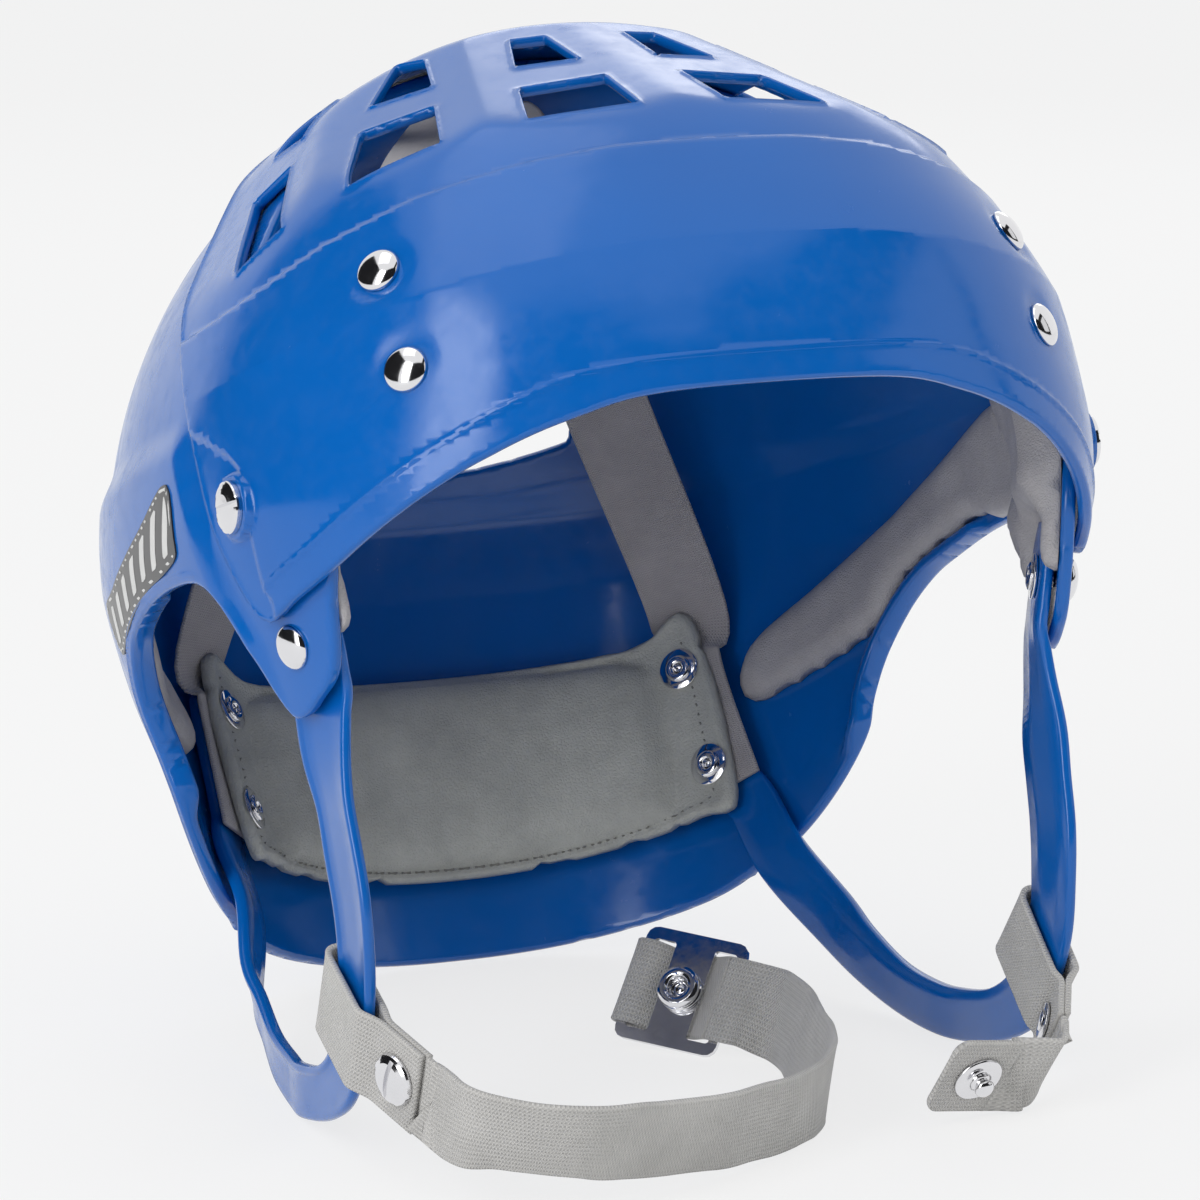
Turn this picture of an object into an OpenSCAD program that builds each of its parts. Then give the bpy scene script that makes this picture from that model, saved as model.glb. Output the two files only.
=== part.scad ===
/* [Shells] */
// Half the width of the front shell, outside
half_width = 101.5; // [96:0.5:108]
// Reach of the front shell ahead of the ear line
front_reach = 114.5; // [108:0.5:122]
// Reach of the shells behind the ear line
rear_reach = 137; // [130:0.5:144]
// Height of the crown above the ear line
crown_height = 108; // [103:0.5:113]
// Squareness of the shells in plan, where 2 is an ellipse
plan_power = 2.46; // [2.2:0.02:2.7]
// Thickness of both plastic shells
wall = 3; // [2.5:0.1:3.4]
// Running gap between the front shell and the rear shell under it
lap_gap = 0.5; // [0.4:0.1:0.9]
// How far the rear shell runs on under the front shell
lap = 28; // [26:0.5:30]
// How far the rear belt stands out from the line of the front shell
belt_flare = -1.3; // [-2:0.1:0.5]
// Share by which the sides draw in for each 100 mm towards the jaw
side_taper = 0.18; // [0.15:0.005:0.21]

/* [Vents] */
// Turn of the three crown facets from straight ahead
facet_turn = [14.5, 53.5, 85.5];
// Slope of the three crown facets, where 90 is level
facet_slope = [62, 56.5, 40.5];
// Distance of the three crown facets from the ear line centre
facet_reach = [104.5, 105, 101.8];
// Width of the slot at the back
rear_slot_w = 84; // [70:1:90]
// Height of the slot at the back
rear_slot_h = 9; // [6:0.5:12]

/* [Fasteners] */
// Diameter of the rivet heads
rivet_head = 9.6; // [8.5:0.1:10.5]
// Diameter of the rivet shanks
rivet_shank = 4; // [3.5:0.1:4.5]
// Diameter of the rivet washers
washer_d = 10; // [9:0.1:11]
// Thickness of the rivet washers
washer_t = 0.8; // [0.6:0.1:1]
// Clearance of a shank in its hole, all round
hole_play = 0.2; // [0.15:0.05:0.35]
// Diameter of the head of a size screw
screw_head = 11; // [10:0.5:12]
// Diameter of the shank of a size screw
screw_shank = 5; // [4.5:0.1:5.5]
// Travel of the size adjustment
size_travel = 8; // [6:0.5:9]

/* [Padding] */
// Thickness of the brow pad
brow_pad_t = 9; // [7:0.5:11]
// Thickness of the neck pad
neck_pad_t = 14; // [10:0.5:16]
// Thickness of the neck pad's stitched edge
neck_flange_t = 2.6; // [2:0.2:3]
// Thickness of the side pads
side_pad_t = 5; // [4:0.5:6]
// Thickness of the side pads at the temples, over the nuts of the size screws
temple_pad_t = 9.5; // [9:0.5:12]
// Width of the crown webbing
crown_web_w = 20; // [16:0.5:24]
// Thickness of the crown webbing
crown_web_t = 1.2; // [1:0.1:1.6]

/* [Ear loops and chin strap] */
// Thickness of an ear loop
loop_t = 2.8; // [2.2:0.1:3.2]
// Width of an ear loop's front leg
loop_w = 19; // [16:0.5:21]
// Width of an ear loop at its bottom
loop_low_w = 12; // [10:0.5:13]
// Width of the chin webbing
strap_w = 20; // [18:0.5:21]
// Thickness of the chin webbing
strap_t = 1.4; // [1.2:0.1:1.6]
// Travel of the slider along the strap
slider_travel = 6; // [4:0.5:6]
// Diameter of the snap stud's ball
snap_d = 4.4; // [4:0.1:4.8]

/* [Hidden] */
$fn = 32;
blue = [0.06, 0.36, 0.72];
chrome = [0.8, 0.8, 0.82];
grey = [0.5, 0.5, 0.5];
webbing = [0.75, 0.74, 0.72];
black = [0.1, 0.1, 0.1];

// Clearance between pieces that are clamped together
seat = 0.05;
// Clearance of a soft piece from what moves past it
soft_gap = 0.35;

// Level of the top of the rear belt, its step and its foot
belt_top = 26;
belt_step = 9;
belt_foot = -22;
belt_fade = 20;
// Lowest level that a shell is drawn to
floor_cut = -100;
// Steps of the shell meshes
turn_step = 7.5;
low_levels = [-100, -90, -80, -70, -60, -52, -44, -36, -28, -20, -12, -4];
high_levels = [0.03, 0.1, 0.155, 0.21, 0.26, 0.32, 0.39, 0.47, 0.55, 0.63, 0.7, 0.77,
               0.83, 0.88, 0.925, 0.96, 0.985];
// Side view of the front shell, front edge first, then the tip and the seam
front_outline = [[-150, 10], [-114, 10], [-108, 6], [-98, -1], [-85, -8.5], [-70, -16], [-57, -20.5],
                 [-52, -22.3], [-47.5, -22.3], [-43, -16.5], [-37, 1], [-33, 12], [-28, 22], [-18, 37],
                 [-3, 55], [15, 76], [32, 97], [50, 125], [-150, 125]];
// Side view of the seam, from below
seam_line = [[-52, -60], [-47, -26], [-42, -16], [-37, 1], [-33, 12], [-28, 22], [-18, 37], [-3, 55], [15, 76],
             [32, 97], [50, 125]];
// Side view of the lug's front edge, and of the ear window from the lug's tip to the rim
lug_edge = [[-67, -12], [-64, -21], [-58.5, -34.5], [-46, -41]];
ear_arch = [[-40.5, -42], [-37.5, -37], [-35, -28], [-31.5, -20], [-27, -13.5], [-20, -10], [-6, -9], [10, -9.8],
            [26, -12.5], [37, -15.5], [47, -21.5], [54, -30], [57, -40], [58, -48], [66, -59], [77, -69], [88, -75]];
// Rim of the rear shell at the back: a point and its fall for each mm further back
rim_at = [100, -80.5];
rim_fall = 0.25;
// Flange turned in round the back of the ear window: its thickness, depth and lowest level
flange_t = 2.4;
flange_depth = 5.5;
flange_foot = -50;
// Bottom of the slot at the back, and its rise towards the ends
rear_slot_z = 29.5;
rear_slot_rise = 5;

// Turn and level of each fastener
brow_upper = [41.3, 43];
brow_lower = [38.1, 21];
lug_at = [60.7, -28];
neck_upper = [149.3, -28];
neck_lower = [145.8, -51.5];
screw_at = [63.3, 1.7];
// Turn of the size screws' axis, and the height of the seat under their heads
screw_turn = 84;
screw_seat = 0.5;
// Depth of the flat seats under the rivet heads
head_sink = 0.2;
head_rise = 2.6;
clinch = 0.6;
// Slope of the size adjustment, up and forward
size_slope = 14;

// Depths of the layers inside the shells
tab_g = wall + 1;
tab_in = tab_g + loop_t;
neck_tab_g = tab_g + 0.4;
neck_in = neck_tab_g + loop_t;
neck_flange_g = neck_in + crown_web_t + 1.3;
neck_stack = neck_flange_g + neck_flange_t;
brow_flange_g = wall + crown_web_t + 1.7;
brow_flange_t = 2.6;
brow_stack = brow_flange_g + brow_flange_t;
nut_gap = 4.3;
nut_t = 2.6;
nut_af = 8;
nut_z = 2 * wall + lap_gap + nut_gap;

// Smooth step from 0 to 1
function ease(t) = let(c = min(1, max(0, t))) c * c * (3 - 2 * c);
// Share by which the plan draws in at a level
function draw_in(z) = let(d = max(0, -z) / 100) side_taper * d * d / (d + 0.06) + 0.1 * d * d;
// Share of the plan that the dome leaves at a level
function dome(z, g) = z > 0 ? sqrt(max(0, 1 - pow(z / (crown_height + g), 2))) : 1;
function semi_x(z, g) = (half_width + g) * (1 - draw_in(z)) * dome(z, g);
function semi_y(z, g, rear) = ((rear ? rear_reach : front_reach) + g) * (1 + 0.0008 * min(0, z)) * dome(z, g);
// Distance from the axis at turn u (0 ahead, 90 at the wearer's left) and level z
function reach(u, z, g) = let(rear = cos(u) < 0)
    1 / pow(pow(abs(sin(u)) / semi_x(z, g), plan_power)
            + pow(abs(cos(u)) / semi_y(z, g, rear), plan_power), 1 / plan_power);
function skin(u, z, g) = let(r = reach(u, z, g)) [r * sin(u), -r * cos(u), z];
// Level line of the seam: its place fore and aft at level z
function seam_y(z) = lookup(z, [for (p = seam_line) [p[1], p[0]]]);
// Growth of the rear shell over the base surface
function rear_growth(u, z) = let(
    inset = -(wall + lap_gap),
    y = -half_width * cos(u),
    behind = ease((y - seam_y(z) - 5.5) / 8),
    below = ease((belt_top - z) / belt_step),
    above_foot = 1 - ease((belt_foot - z) / belt_fade),
    rise = belt_flare - inset)
    inset + rise * behind * below * (0.45 + 0.55 * above_foot);
// Point of the front or rear shell's surface, moved out by g
function shell_point(u, z, g, rear) = skin(u, z, rear ? rear_growth(u, z) + g : g);
function unit(v) = v / norm(v);
// Outward direction of a shell
function outward(u, z, rear) = unit(cross(
    shell_point(u + 1.5, z, 0, rear) - shell_point(u - 1.5, z, 0, rear),
    shell_point(u, z + 1.5, 0, rear) - shell_point(u, z - 1.5, 0, rear)));
// Point inside a shell at depth g, straight in from the surface
function inside(at, g, rear) = shell_point(at[0], at[1], 0, rear) - g * outward(at[0], at[1], rear);
// Smooth curve through points or numbers, with the given steps between two of them
function curve(p, steps) = concat([for (i = [0:len(p) - 2]) for (k = [0:steps - 1]) let(
    t = k / steps, a = p[max(i - 1, 0)], b = p[i], c = p[i + 1], d = p[min(i + 2, len(p) - 1)])
    0.5 * (2 * b + (c - a) * t + (2 * a - 5 * b + 4 * c - d) * t * t + (3 * b - a - 3 * c + d) * t * t * t)],
    [p[len(p) - 1]]);
// Direction of a path at point i
function heading(p, i) = unit(p[min(i + 1, len(p) - 1)] - p[max(i - 1, 0)]);

// Closed solid inside a surface given by rear or front growth
module bowl(g, rear, faceted = true) {
    n = 360 / turn_step;
    top = crown_height + g - (rear ? wall + lap_gap : 0);
    levels = concat(low_levels, [for (h = high_levels) h * top]);
    rings = [for (z = levels) [for (i = [0:n - 1]) shell_point(i * turn_step, z, g, rear)]];
    points = concat([for (r = rings) for (p = r) p], [[0, 0, floor_cut], [0, 0, top]]);
    m = len(levels);
    low = m * n;
    faces = concat(
        [for (j = [0:m - 2]) for (i = [0:n - 1]) let(k = (i + 1) % n)
            [j * n + i, (j + 1) * n + i, (j + 1) * n + k, j * n + k]],
        [for (i = [0:n - 1]) [low, i, (i + 1) % n]],
        [for (i = [0:n - 1]) [low + 1, (m - 1) * n + (i + 1) % n, (m - 1) * n + i]]);
    difference() {
        polyhedron(points, faces, convexity = 6);
        if (faceted) for (side = [-1, 1]) for (k = [0:2])
            on_facet(side, k, g - (rear ? wall + lap_gap : 0)) translate([-110, -110, 0]) cube(220);
    }
}
// What lies between depths a and b inside a shell
module layer(a, b, rear) {
    difference() {
        bowl(-a, rear, false);
        bowl(-b, rear, false);
    }
}
// Places children on crown facet k, with Z outward and Y up the slope
module on_facet(side, k, g) {
    rotate([0, 0, side * facet_turn[k]]) rotate([90 - facet_slope[k], 0, 0])
        translate([0, 0, facet_reach[k] + g]) mirror([side < 0 ? 1 : 0, 0, 0]) children();
}
// Mirrors children to the wearer's right
module on_side(side) mirror([side < 0 ? 1 : 0, 0, 0]) children();
// Places children on a shell, with Z outward, X down and Y backward
module at_skin(side, at, rear) {
    n = outward(at[0], at[1], rear);
    on_side(side) translate(shell_point(at[0], at[1], 0, rear)) rotate([0, acos(n[2]), atan2(n[1], n[0])]) children();
}
function screw_point(depth) = shell_point(screw_at[0], screw_at[1], 0, false)
    - depth * [sin(screw_turn), -cos(screw_turn), 0];
module at_screw(side) {
    on_side(side) translate(screw_point(0)) rotate([0, 90, screw_turn - 90]) children();
}
// A prism through the part with the given side view, from x = a to x = b
module side_prism(outline, a = -160, b = 160) {
    rotate([90, 0, 90]) translate([0, 0, a]) linear_extrude(b - a) polygon(outline);
}
// Prisms through the front or the back with the given front view
module front_prism(outline) rotate([90, 0, 0]) linear_extrude(160) polygon(outline);
module back_prism(outline) translate([0, 160, 0]) rotate([90, 0, 0]) linear_extrude(160) polygon(outline);
// Flat band along a path: its points, the direction across it, its widths and its thickness
module band(path, across, widths, thick) {
    m = len(path);
    rings = [for (i = [0:m - 1]) let(
        t = heading(path, i),
        a = unit(across[i] - (across[i] * t) * t),
        n = cross(t, a) * thick / 2,
        w = a * widths[i] / 2)
        [path[i] + w + n, path[i] - w + n, path[i] - w - n, path[i] + w - n]];
    last = 4 * (m - 1);
    polyhedron([for (r = rings) for (p = r) p], concat(
        [for (i = [0:m - 2]) for (k = [0:3]) let(a = 4 * i + k, b = 4 * i + (k + 1) % 4) [b + 4, b, a]],
        [for (i = [0:m - 2]) for (k = [0:3]) let(a = 4 * i + k, b = 4 * i + (k + 1) % 4) [a + 4, b + 4, a]],
        [[1, 2, 3], [0, 1, 3], [last + 2, last + 1, last], [last + 3, last + 2, last]]), convexity = 6);
}
// Outline of a ribbon drawn along flat points
function ribbon(p, t) = let(n = len(p), side = [for (i = [0:n - 1]) let(h = heading(p, i)) [-h[1], h[0]] * t / 2])
    concat([for (i = [0:n - 1]) p[i] + side[i]], [for (i = [n - 1:-1:0]) p[i] - side[i]]);

// Domed rivet through a stack of the given depth, with its tube end spread inside
module rivet(stack) {
    r = rivet_shank / 2;
    rim = 0.4 - head_sink;
    rotate_extrude() polygon(concat(
        [for (a = [90:-15:0]) [cos(a) * rivet_head / 2, rim + (head_rise - 0.4) * sin(a)]],
        [[rivet_head / 2, -head_sink], [r, -head_sink], [r, -stack], [r + 1.1, -stack], [r + 1.1, -stack - clinch],
         [r + 0.2, -stack - clinch - 0.3], [r - 0.8, -stack - clinch], [r - 0.8, -stack + 1], [0, -stack + 1]]));
}
// Washer under a rivet's spread end
module washer(stack, d = washer_d) {
    translate([0, 0, -stack - seat - washer_t]) difference() {
        cylinder(washer_t, r = d / 2);
        translate([0, 0, -1]) cylinder(washer_t + 2, r = rivet_shank / 2 + seat);
    }
}
// Depth of a rivet's own stack, washer included
function clamp_depth(stack) = stack + 2 * seat + washer_t;
// Hole for a rivet
module rivet_hole() translate([0, 0, -20]) cylinder(40, r = rivet_shank / 2 + hole_play);
// Flat spots for a rivet head outside and for what lies inside at the given depth
module head_spot() translate([0, 0, -head_sink]) cylinder(6, r = rivet_head / 2 + seat);
module inner_spot(stack) translate([0, 0, -stack - 8]) cylinder(8, r = washer_d / 2 + 0.3);

// Vents of one facet: a lower and an upper opening
vents = [
    [[[11.5, -18.5], [-7, -15], [-11, -36.5], [12.5, -40]], [[8.5, 17.5], [1, 18], [-3.5, -1], [10, -2.5]]],
    [[[1.5, -13.5], [-15, -9], [-27, -30], [-8, -39.5]], [[10, 21.5], [2, 20], [-8.5, 3], [6, 0.5]]],
    [[[-3, 8.5], [-15, 15], [-39.5, -8], [-27, -17]], [[8.5, 40], [-3.5, 39], [-8, 25], [6, 23.5]]]];
module vent_cuts() {
    for (side = [-1, 1]) for (k = [0:2]) for (shape = vents[k])
        on_facet(side, k, 0) translate([0, 0, -20]) linear_extrude(40) polygon(shape);
}
module front_shell() color(blue) difference() {
    resize([0, 0, 0]) difference() {
        union() {
            intersection() {
                bowl(0, false);
                side_prism(front_outline);
            }
            for (side = [-1, 1]) at_screw(side)
                translate([0, 0, -2]) cylinder(2 + screw_seat, r = screw_head / 2 + 1.5);
        }
        bowl(-wall, false);
        vent_cuts();
        for (side = [-1, 1]) for (at = [brow_upper, brow_lower]) at_skin(side, at, false) head_spot();
        for (side = [-1, 1]) at_screw(side) translate([0, 0, screw_seat]) cylinder(6, r = screw_head / 2 + 1.6);
    }
    for (side = [-1, 1]) for (at = [brow_upper, brow_lower]) at_skin(side, at, false) rivet_hole();
    for (side = [-1, 1]) at_screw(side) translate([0, 0, -10]) cylinder(20, r = screw_shank / 2 + 0.08);
}
// Side view of all that the rear shell keeps
function rear_outline() = concat(
    [for (i = [len(seam_line) - 1:-1:3]) seam_line[i] - [lap, 0]],
    lug_edge, ear_arch,
    [rim_at, rim_at + [50, -50 * rim_fall], [150, 125]]);
// Side view of the ear window, closed below the rim
function ear_window() = concat(ear_arch, [[88, -120], [-40.5, -120]]);
// Slots that the size screws slide in, seen from the side
module size_slots() {
    y = screw_point(1.5 * wall + lap_gap)[1];
    way = [-cos(size_slope), sin(size_slope)];
    turn = [way[1], -way[0]];
    r = screw_shank / 2 + 0.6;
    start = [y, screw_at[1]] - way * 1.6;
    end = [y, screw_at[1]] + way * (size_travel + 1.6);
    side_prism(concat([for (a = [0:30:180]) start + r * (cos(a) * turn - sin(a) * way)],
                      [for (a = [0:30:180]) end - r * (cos(a) * turn - sin(a) * way)]));
}
module rear_shell() color(blue) difference() {
    resize([0, 0, 0]) difference() {
        union() {
            difference() {
                intersection() {
                    bowl(0, true);
                    side_prism(rear_outline());
                }
                bowl(-wall, true);
            }
            intersection() {
                layer(1, flange_depth, true);
                rotate([90, 0, 90]) linear_extrude(320, center = true) intersection() {
                    difference() {
                        offset(delta = flange_t) polygon(ear_window());
                        offset(delta = 0.15) polygon(ear_window());
                    }
                    translate([8, flange_foot]) square([90, 60]);
                }
            }
        }
        back_prism(concat(
            [for (s = [-1:0.25:1]) [s * rear_slot_w / 2, rear_slot_z + rear_slot_rise * s * s]],
            [for (s = [1:-0.25:-1]) [s * rear_slot_w / 2, rear_slot_z + rear_slot_h + rear_slot_rise * s * s]]));
        size_slots();
        for (side = [-1, 1]) for (at = [lug_at, neck_upper, neck_lower]) at_skin(side, at, true) head_spot();
    }
    for (side = [-1, 1]) for (at = [lug_at, neck_upper, neck_lower]) at_skin(side, at, true) rivet_hole();
}

// Front view of the brow pad's flange, and how far its pillow stays inside it
brow_pad_outline = [[-75, 48], [-75, 12], [75, 12], [75, 48], [56, 48.5], [38, 56], [0, 58], [-38, 56], [-56, 48.5]];
brow_pillow = [[-54, 45], [-57, 17], [57, 17], [54, 45], [30, 52], [0, 54], [-30, 52]];
module brow_pad() color(grey) difference() {
    resize([0, 0, 0]) difference() {
        union() {
            intersection() {
                layer(brow_flange_g, brow_stack, false);
                front_prism(brow_pad_outline);
            }
            intersection() {
                layer(wall + seat, wall + brow_pad_t, false);
                front_prism(brow_pillow);
            }
        }
        for (side = [-1, 1]) for (at = [brow_upper, brow_lower]) at_skin(side, at, false) inner_spot(brow_stack);
    }
    for (side = [-1, 1]) for (at = [brow_upper, brow_lower]) at_skin(side, at, false) rivet_hole();
}
// Half of the back views of the neck pad's flange and of its pillow
neck_flange_half = [[0, -69.3], [25, -68.5], [50, -66], [62, -63], [69, -58.5], [68.5, -14.7],
                    [57, -19], [40, -20.5], [0, -21]];
neck_pillow_half = [[0, -66.5], [25, -66], [50, -64], [58, -60], [59, -40],
                    [56, -24], [30, -22.5], [0, -22]];
function both_halves(p) = concat(p, [for (i = [len(p) - 2:-1:1]) [-p[i][0], p[i][1]]]);
module neck_pad() color(grey) difference() {
    resize([0, 0, 0]) difference() {
        union() {
            intersection() {
                layer(neck_flange_g, neck_stack, true);
                back_prism(both_halves(neck_flange_half));
            }
            intersection() {
                layer(wall + seat, wall + neck_pad_t - 4, true);
                back_prism(both_halves(neck_pillow_half));
            }
            intersection() {
                layer(wall + 5, wall + neck_pad_t, true);
                translate([0, 160, 0]) rotate([90, 0, 0]) linear_extrude(160)
                    offset(delta = -4) polygon(both_halves(neck_pillow_half));
            }
        }
        for (side = [-1, 1]) at_skin(side, neck_middle, true) neck_pocket();
        for (side = [-1, 1]) for (at = [neck_upper, neck_lower]) at_skin(side, at, true) inner_spot(neck_stack);
    }
    for (side = [-1, 1]) for (at = [neck_upper, neck_lower]) at_skin(side, at, true) rivet_hole();
}
// Room for a loop's tab and a strap's end between the shell and the flange
module neck_pocket() {
    half = crown_web_w / 2 + 5.5;
    translate([-40, -half, -neck_flange_g]) cube([64, 2 * half, neck_flange_g + 20]);
}
// Side views of a side pad, of its thick temple, and of the nut's way behind it
side_pad_outline = [[-64, -13], [-67, -4], [-66, 12], [-60, 26], [-50, 33], [-38, 31], [-26, 25], [-13.6, 19.4],
                    [7, 14], [33.6, 6.2], [52, -0.5], [76.5, -11], [96.4, -22], [95.2, -36.3], [75, -31.5],
                    [58, -26], [51, -21.5], [46, -15.8], [38, -12.2], [26, -9.2], [10, -6.6], [5, -6.4], [-6, -9], [-20, -10],
                    [-27, -13.5], [-31.5, -20], [-34, -25], [-35, -28.5], [-60, -28.5], [-64, -19]];
temple_outline = [[-64, -13], [-67, -4], [-66, 12], [-60, 26], [-50, 33], [-40, 30], [-38, -13]];
lug_ridge = [[-35, -28], [-38, -10], [-26, -10], [-30, -18]];
// Room for the ear loop's end, around the lug's rivet
lug_room = [[-13.5, -6], [-13.5, 6], [-8, loop_w / 2 + 1], [20, loop_w / 2 + 1],
            [20, -loop_w / 2 - 1], [-8, -loop_w / 2 - 1]];
module side_pad(side) color(grey) resize([0, 0, 0]) on_side(side) difference() {
    union() {
        intersection() {
            layer(wall + seat, wall + side_pad_t, true);
            side_prism(side_pad_outline, 20);
        }
        intersection() {
            layer(wall + seat, wall + temple_pad_t, true);
            side_prism(temple_outline, 20);
        }
        intersection() {
            layer(wall + seat, wall + side_pad_t + 3.5, true);
            side_prism(lug_ridge, 20);
        }
    }
    intersection() {
        layer(wall - 1, wall + nut_gap + nut_t + 1.6, true);
        nut_way();
    }
    at_skin(1, lug_at, true) translate([0, 0, -40]) linear_extrude(50) polygon(lug_room);
}
// Room that a size nut needs in its travel, seen from the side
module nut_way() {
    r = nut_af / 2 / cos(30) + 0.6;
    y = screw_point(nut_z)[1];
    side_prism([[y + r, screw_at[1] - r], [y + r, screw_at[1] + r],
                [y - r - size_travel * cos(size_slope), screw_at[1] + r + size_travel * sin(size_slope)],
                [y - r - size_travel * cos(size_slope), screw_at[1] - r]], 20);
}

// Crown straps: from the neck rivets over the crown to the brow rivets on the other side
crown_path = [[40, 85, 35], [12, 45, 75], [-1, 18, 86], [-20, -15, 88], [-42, -46, 73.5], [-56.6, -64.6, 58.2]];
crown_across = [[0.8, -0.5, 0.3], [0.75, -0.6, 0.25], [0.8, -0.6, 0.1],
                [0.8, -0.6, -0.1], [0.75, -0.6, -0.2], [0.72, -0.66, -0.2]];
// Height by which one strap passes over the other at the crown
crown_over = [0.2, 1, 1.4, 1, 0.2, 0];
module crown_strap(side) color(webbing) difference() {
    over = side > 0 ? 1 : -1;
    low = inside(neck_lower, strap_depth(neck_in), true);
    high = inside(neck_upper, strap_depth(neck_in), true);
    brow = inside(brow_upper, strap_depth(wall), false);
    mirrored = [-brow[0], brow[1], brow[2]];
    above = inside(neck_upper + [-1, 16], strap_depth(neck_in) + 1, true);
    brow_way = inside(brow_upper + [0, -7], strap_depth(wall), false);
    brow_tip = [-brow_way[0], brow_way[1], brow_way[2]];
    brow_above = inside(brow_upper + [0.5, 8], strap_depth(wall) + 0.45, false);
    brow_out = [-brow_above[0], brow_above[1], brow_above[2]];
    control = concat([low + unit(low - high) * 6, high, above],
                     [for (i = [0:5]) crown_path[i] + [0, 0, over * crown_over[i]]], [brow_out, mirrored, brow_tip]);
    b = outward(brow_upper[0], brow_upper[1], false);
    first = unit(cross(neck_normal, high - low));
    last = unit(cross([-b[0], b[1], b[2]], mirrored - brow_out));
    across = concat([first, first, first], crown_across, [last, last, last]);
    path = curve(control, 4);
    on_side(side) band(path, curve(across, 4), [for (p = path) crown_web_w], crown_web_t);
    for (at = [neck_upper, neck_lower]) at_skin(side, at, true) rivet_hole();
    at_skin(-side, brow_upper, false) rivet_hole();
}
// Depth of a crown strap's middle where it is riveted over a layer
function strap_depth(g) = g + 1.3 + crown_web_t / 2;

module brow_rivets() color(chrome) for (side = [-1, 1]) for (at = [brow_upper, brow_lower])
    at_skin(side, at, false) rivet(clamp_depth(brow_stack));
module brow_washers() color(chrome) for (side = [-1, 1]) for (at = [brow_upper, brow_lower])
    at_skin(side, at, false) washer(brow_stack);
module neck_rivets() color(chrome) for (side = [-1, 1]) for (at = [neck_upper, neck_lower])
    at_skin(side, at, true) rivet(clamp_depth(neck_stack));
module neck_washers() color(chrome) for (side = [-1, 1]) for (at = [neck_upper, neck_lower])
    at_skin(side, at, true) washer(neck_stack);
module lug_rivets() color(chrome) for (side = [-1, 1]) at_skin(side, lug_at, true) rivet(clamp_depth(tab_in));
module lug_washers() color(chrome) for (side = [-1, 1]) at_skin(side, lug_at, true) washer(tab_in);

// Slotted screw of the size adjustment
module size_screw(side) color(chrome) difference() {
    at_screw(side) rotate_extrude() polygon(concat(
        [for (a = [90:-15:0]) [cos(a) * screw_head / 2, screw_seat + seat + 1 + 1.2 * sin(a)]],
        [[screw_head / 2, screw_seat + seat], [screw_shank / 2, screw_seat + seat],
         [screw_shank / 2, -nut_z - nut_t - 0.5], [0, -nut_z - nut_t - 0.5]]));
    at_screw(side) translate([-0.7, -10, screw_seat + 1.1]) cube([1.4, 20, 5]);
}
module size_nut(side) color(chrome) at_screw(side) translate([0, 0, -nut_z - nut_t]) difference() {
    cylinder(nut_t, r = nut_af / 2 / cos(30), $fn = 6);
    translate([0, 0, -1]) cylinder(nut_t + 2, r = screw_shank / 2 + seat);
}

// Ear loops: the way from the lug's rivet down and round the foot
leg_drops = [[-1.4, 3.7, -14.8], [-1.4, 4.7, -23], [-1.9, 4.7, -33], [-2.4, 4.7, -43],
             [-2.9, 4.7, -53], [-3.3, 6.7, -63],
             [-3.5, 10.7, -73], [-3.8, 19.2, -82.5], [-4.1, 28.5, -88.3], [-4.7, 42.7, -90.7], [-5.4, 60.4, -89.2],
             [-6.9, 72.1, -86.1], [-8.4, 85.6, -80.3], [-10.4, 97.9, -71.9], [-11.9, 108.6, -63]];
neck_middle = (neck_upper + neck_lower) / 2;
lug_normal = outward(lug_at[0], lug_at[1], true);
lug_point = inside(lug_at, tab_g + loop_t / 2, true);
leg_way = unit(leg_drops[0] - (leg_drops[0] * lug_normal) * lug_normal);
neck_low = inside(neck_lower, neck_tab_g + loop_t / 2, true);
neck_high = inside(neck_upper, neck_tab_g + loop_t / 2, true);
neck_normal = outward(neck_middle[0], neck_middle[1], true);
neck_way = unit(neck_high - neck_low);
loop_points = concat([for (d = [-11.5, -6, 0, 5.5, 10]) lug_point + d * leg_way],
    [for (d = leg_drops) lug_point + d],
    [inside([137.5, -75], tab_g + 0.8 + loop_t / 2, true), inside([142.3, -60], tab_g + 0.5 + loop_t / 2, true),
     neck_low, neck_high, neck_high + 6 * neck_way]);
loop_normals = concat([for (i = [0:4]) lug_normal], [[1, -0.25, 0], [1, -0.15, 0]], [for (i = [2:9]) [1, 0, 0]],
    [[1, 0.05, 0], [1, 0.12, 0], [1, 0.22, 0], [1, 0.35, 0], [1, 0.5, 0], [1, 0.8, 0]],
    [for (i = [0:3]) neck_normal]);
loop_widths = concat([loop_w - 10, loop_w - 2], [for (i = [0:7]) loop_w],
    [loop_w - 1, loop_w - 2, loop_w - 3.5, loop_w - 5, loop_low_w], [for (i = [0:2]) loop_low_w],
    [loop_low_w + 1, loop_low_w + 2, loop_low_w + 2, loop_low_w + 1, loop_low_w, loop_low_w, loop_low_w - 4]);
module ear_loop(side) color(blue) difference() {
    on_side(side) band(loop_path, [for (i = [0:len(loop_path) - 1]) cross(loop_turns[i], heading(loop_path, i))],
                       loop_spans, loop_t);
    for (at = [lug_at, neck_upper, neck_lower]) at_skin(side, at, true) rivet_hole();
}

// Dark label plates on the belt, seen from the side
label_outline = [[-13.4, 12.9], [-17, -1], [-15, -4], [-6, -6], [8, -7.5], [21.5, -10], [36, -13.4], [50, -16],
                 [54, -4.3], [37.6, -2], [7.7, 6]];
label_t = 0.4;
module label(side) color(black) resize([0, 0, 0]) on_side(side) intersection() {
    layer(-seat - label_t, -seat, true);
    side_prism(label_outline, 20);
}

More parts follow.
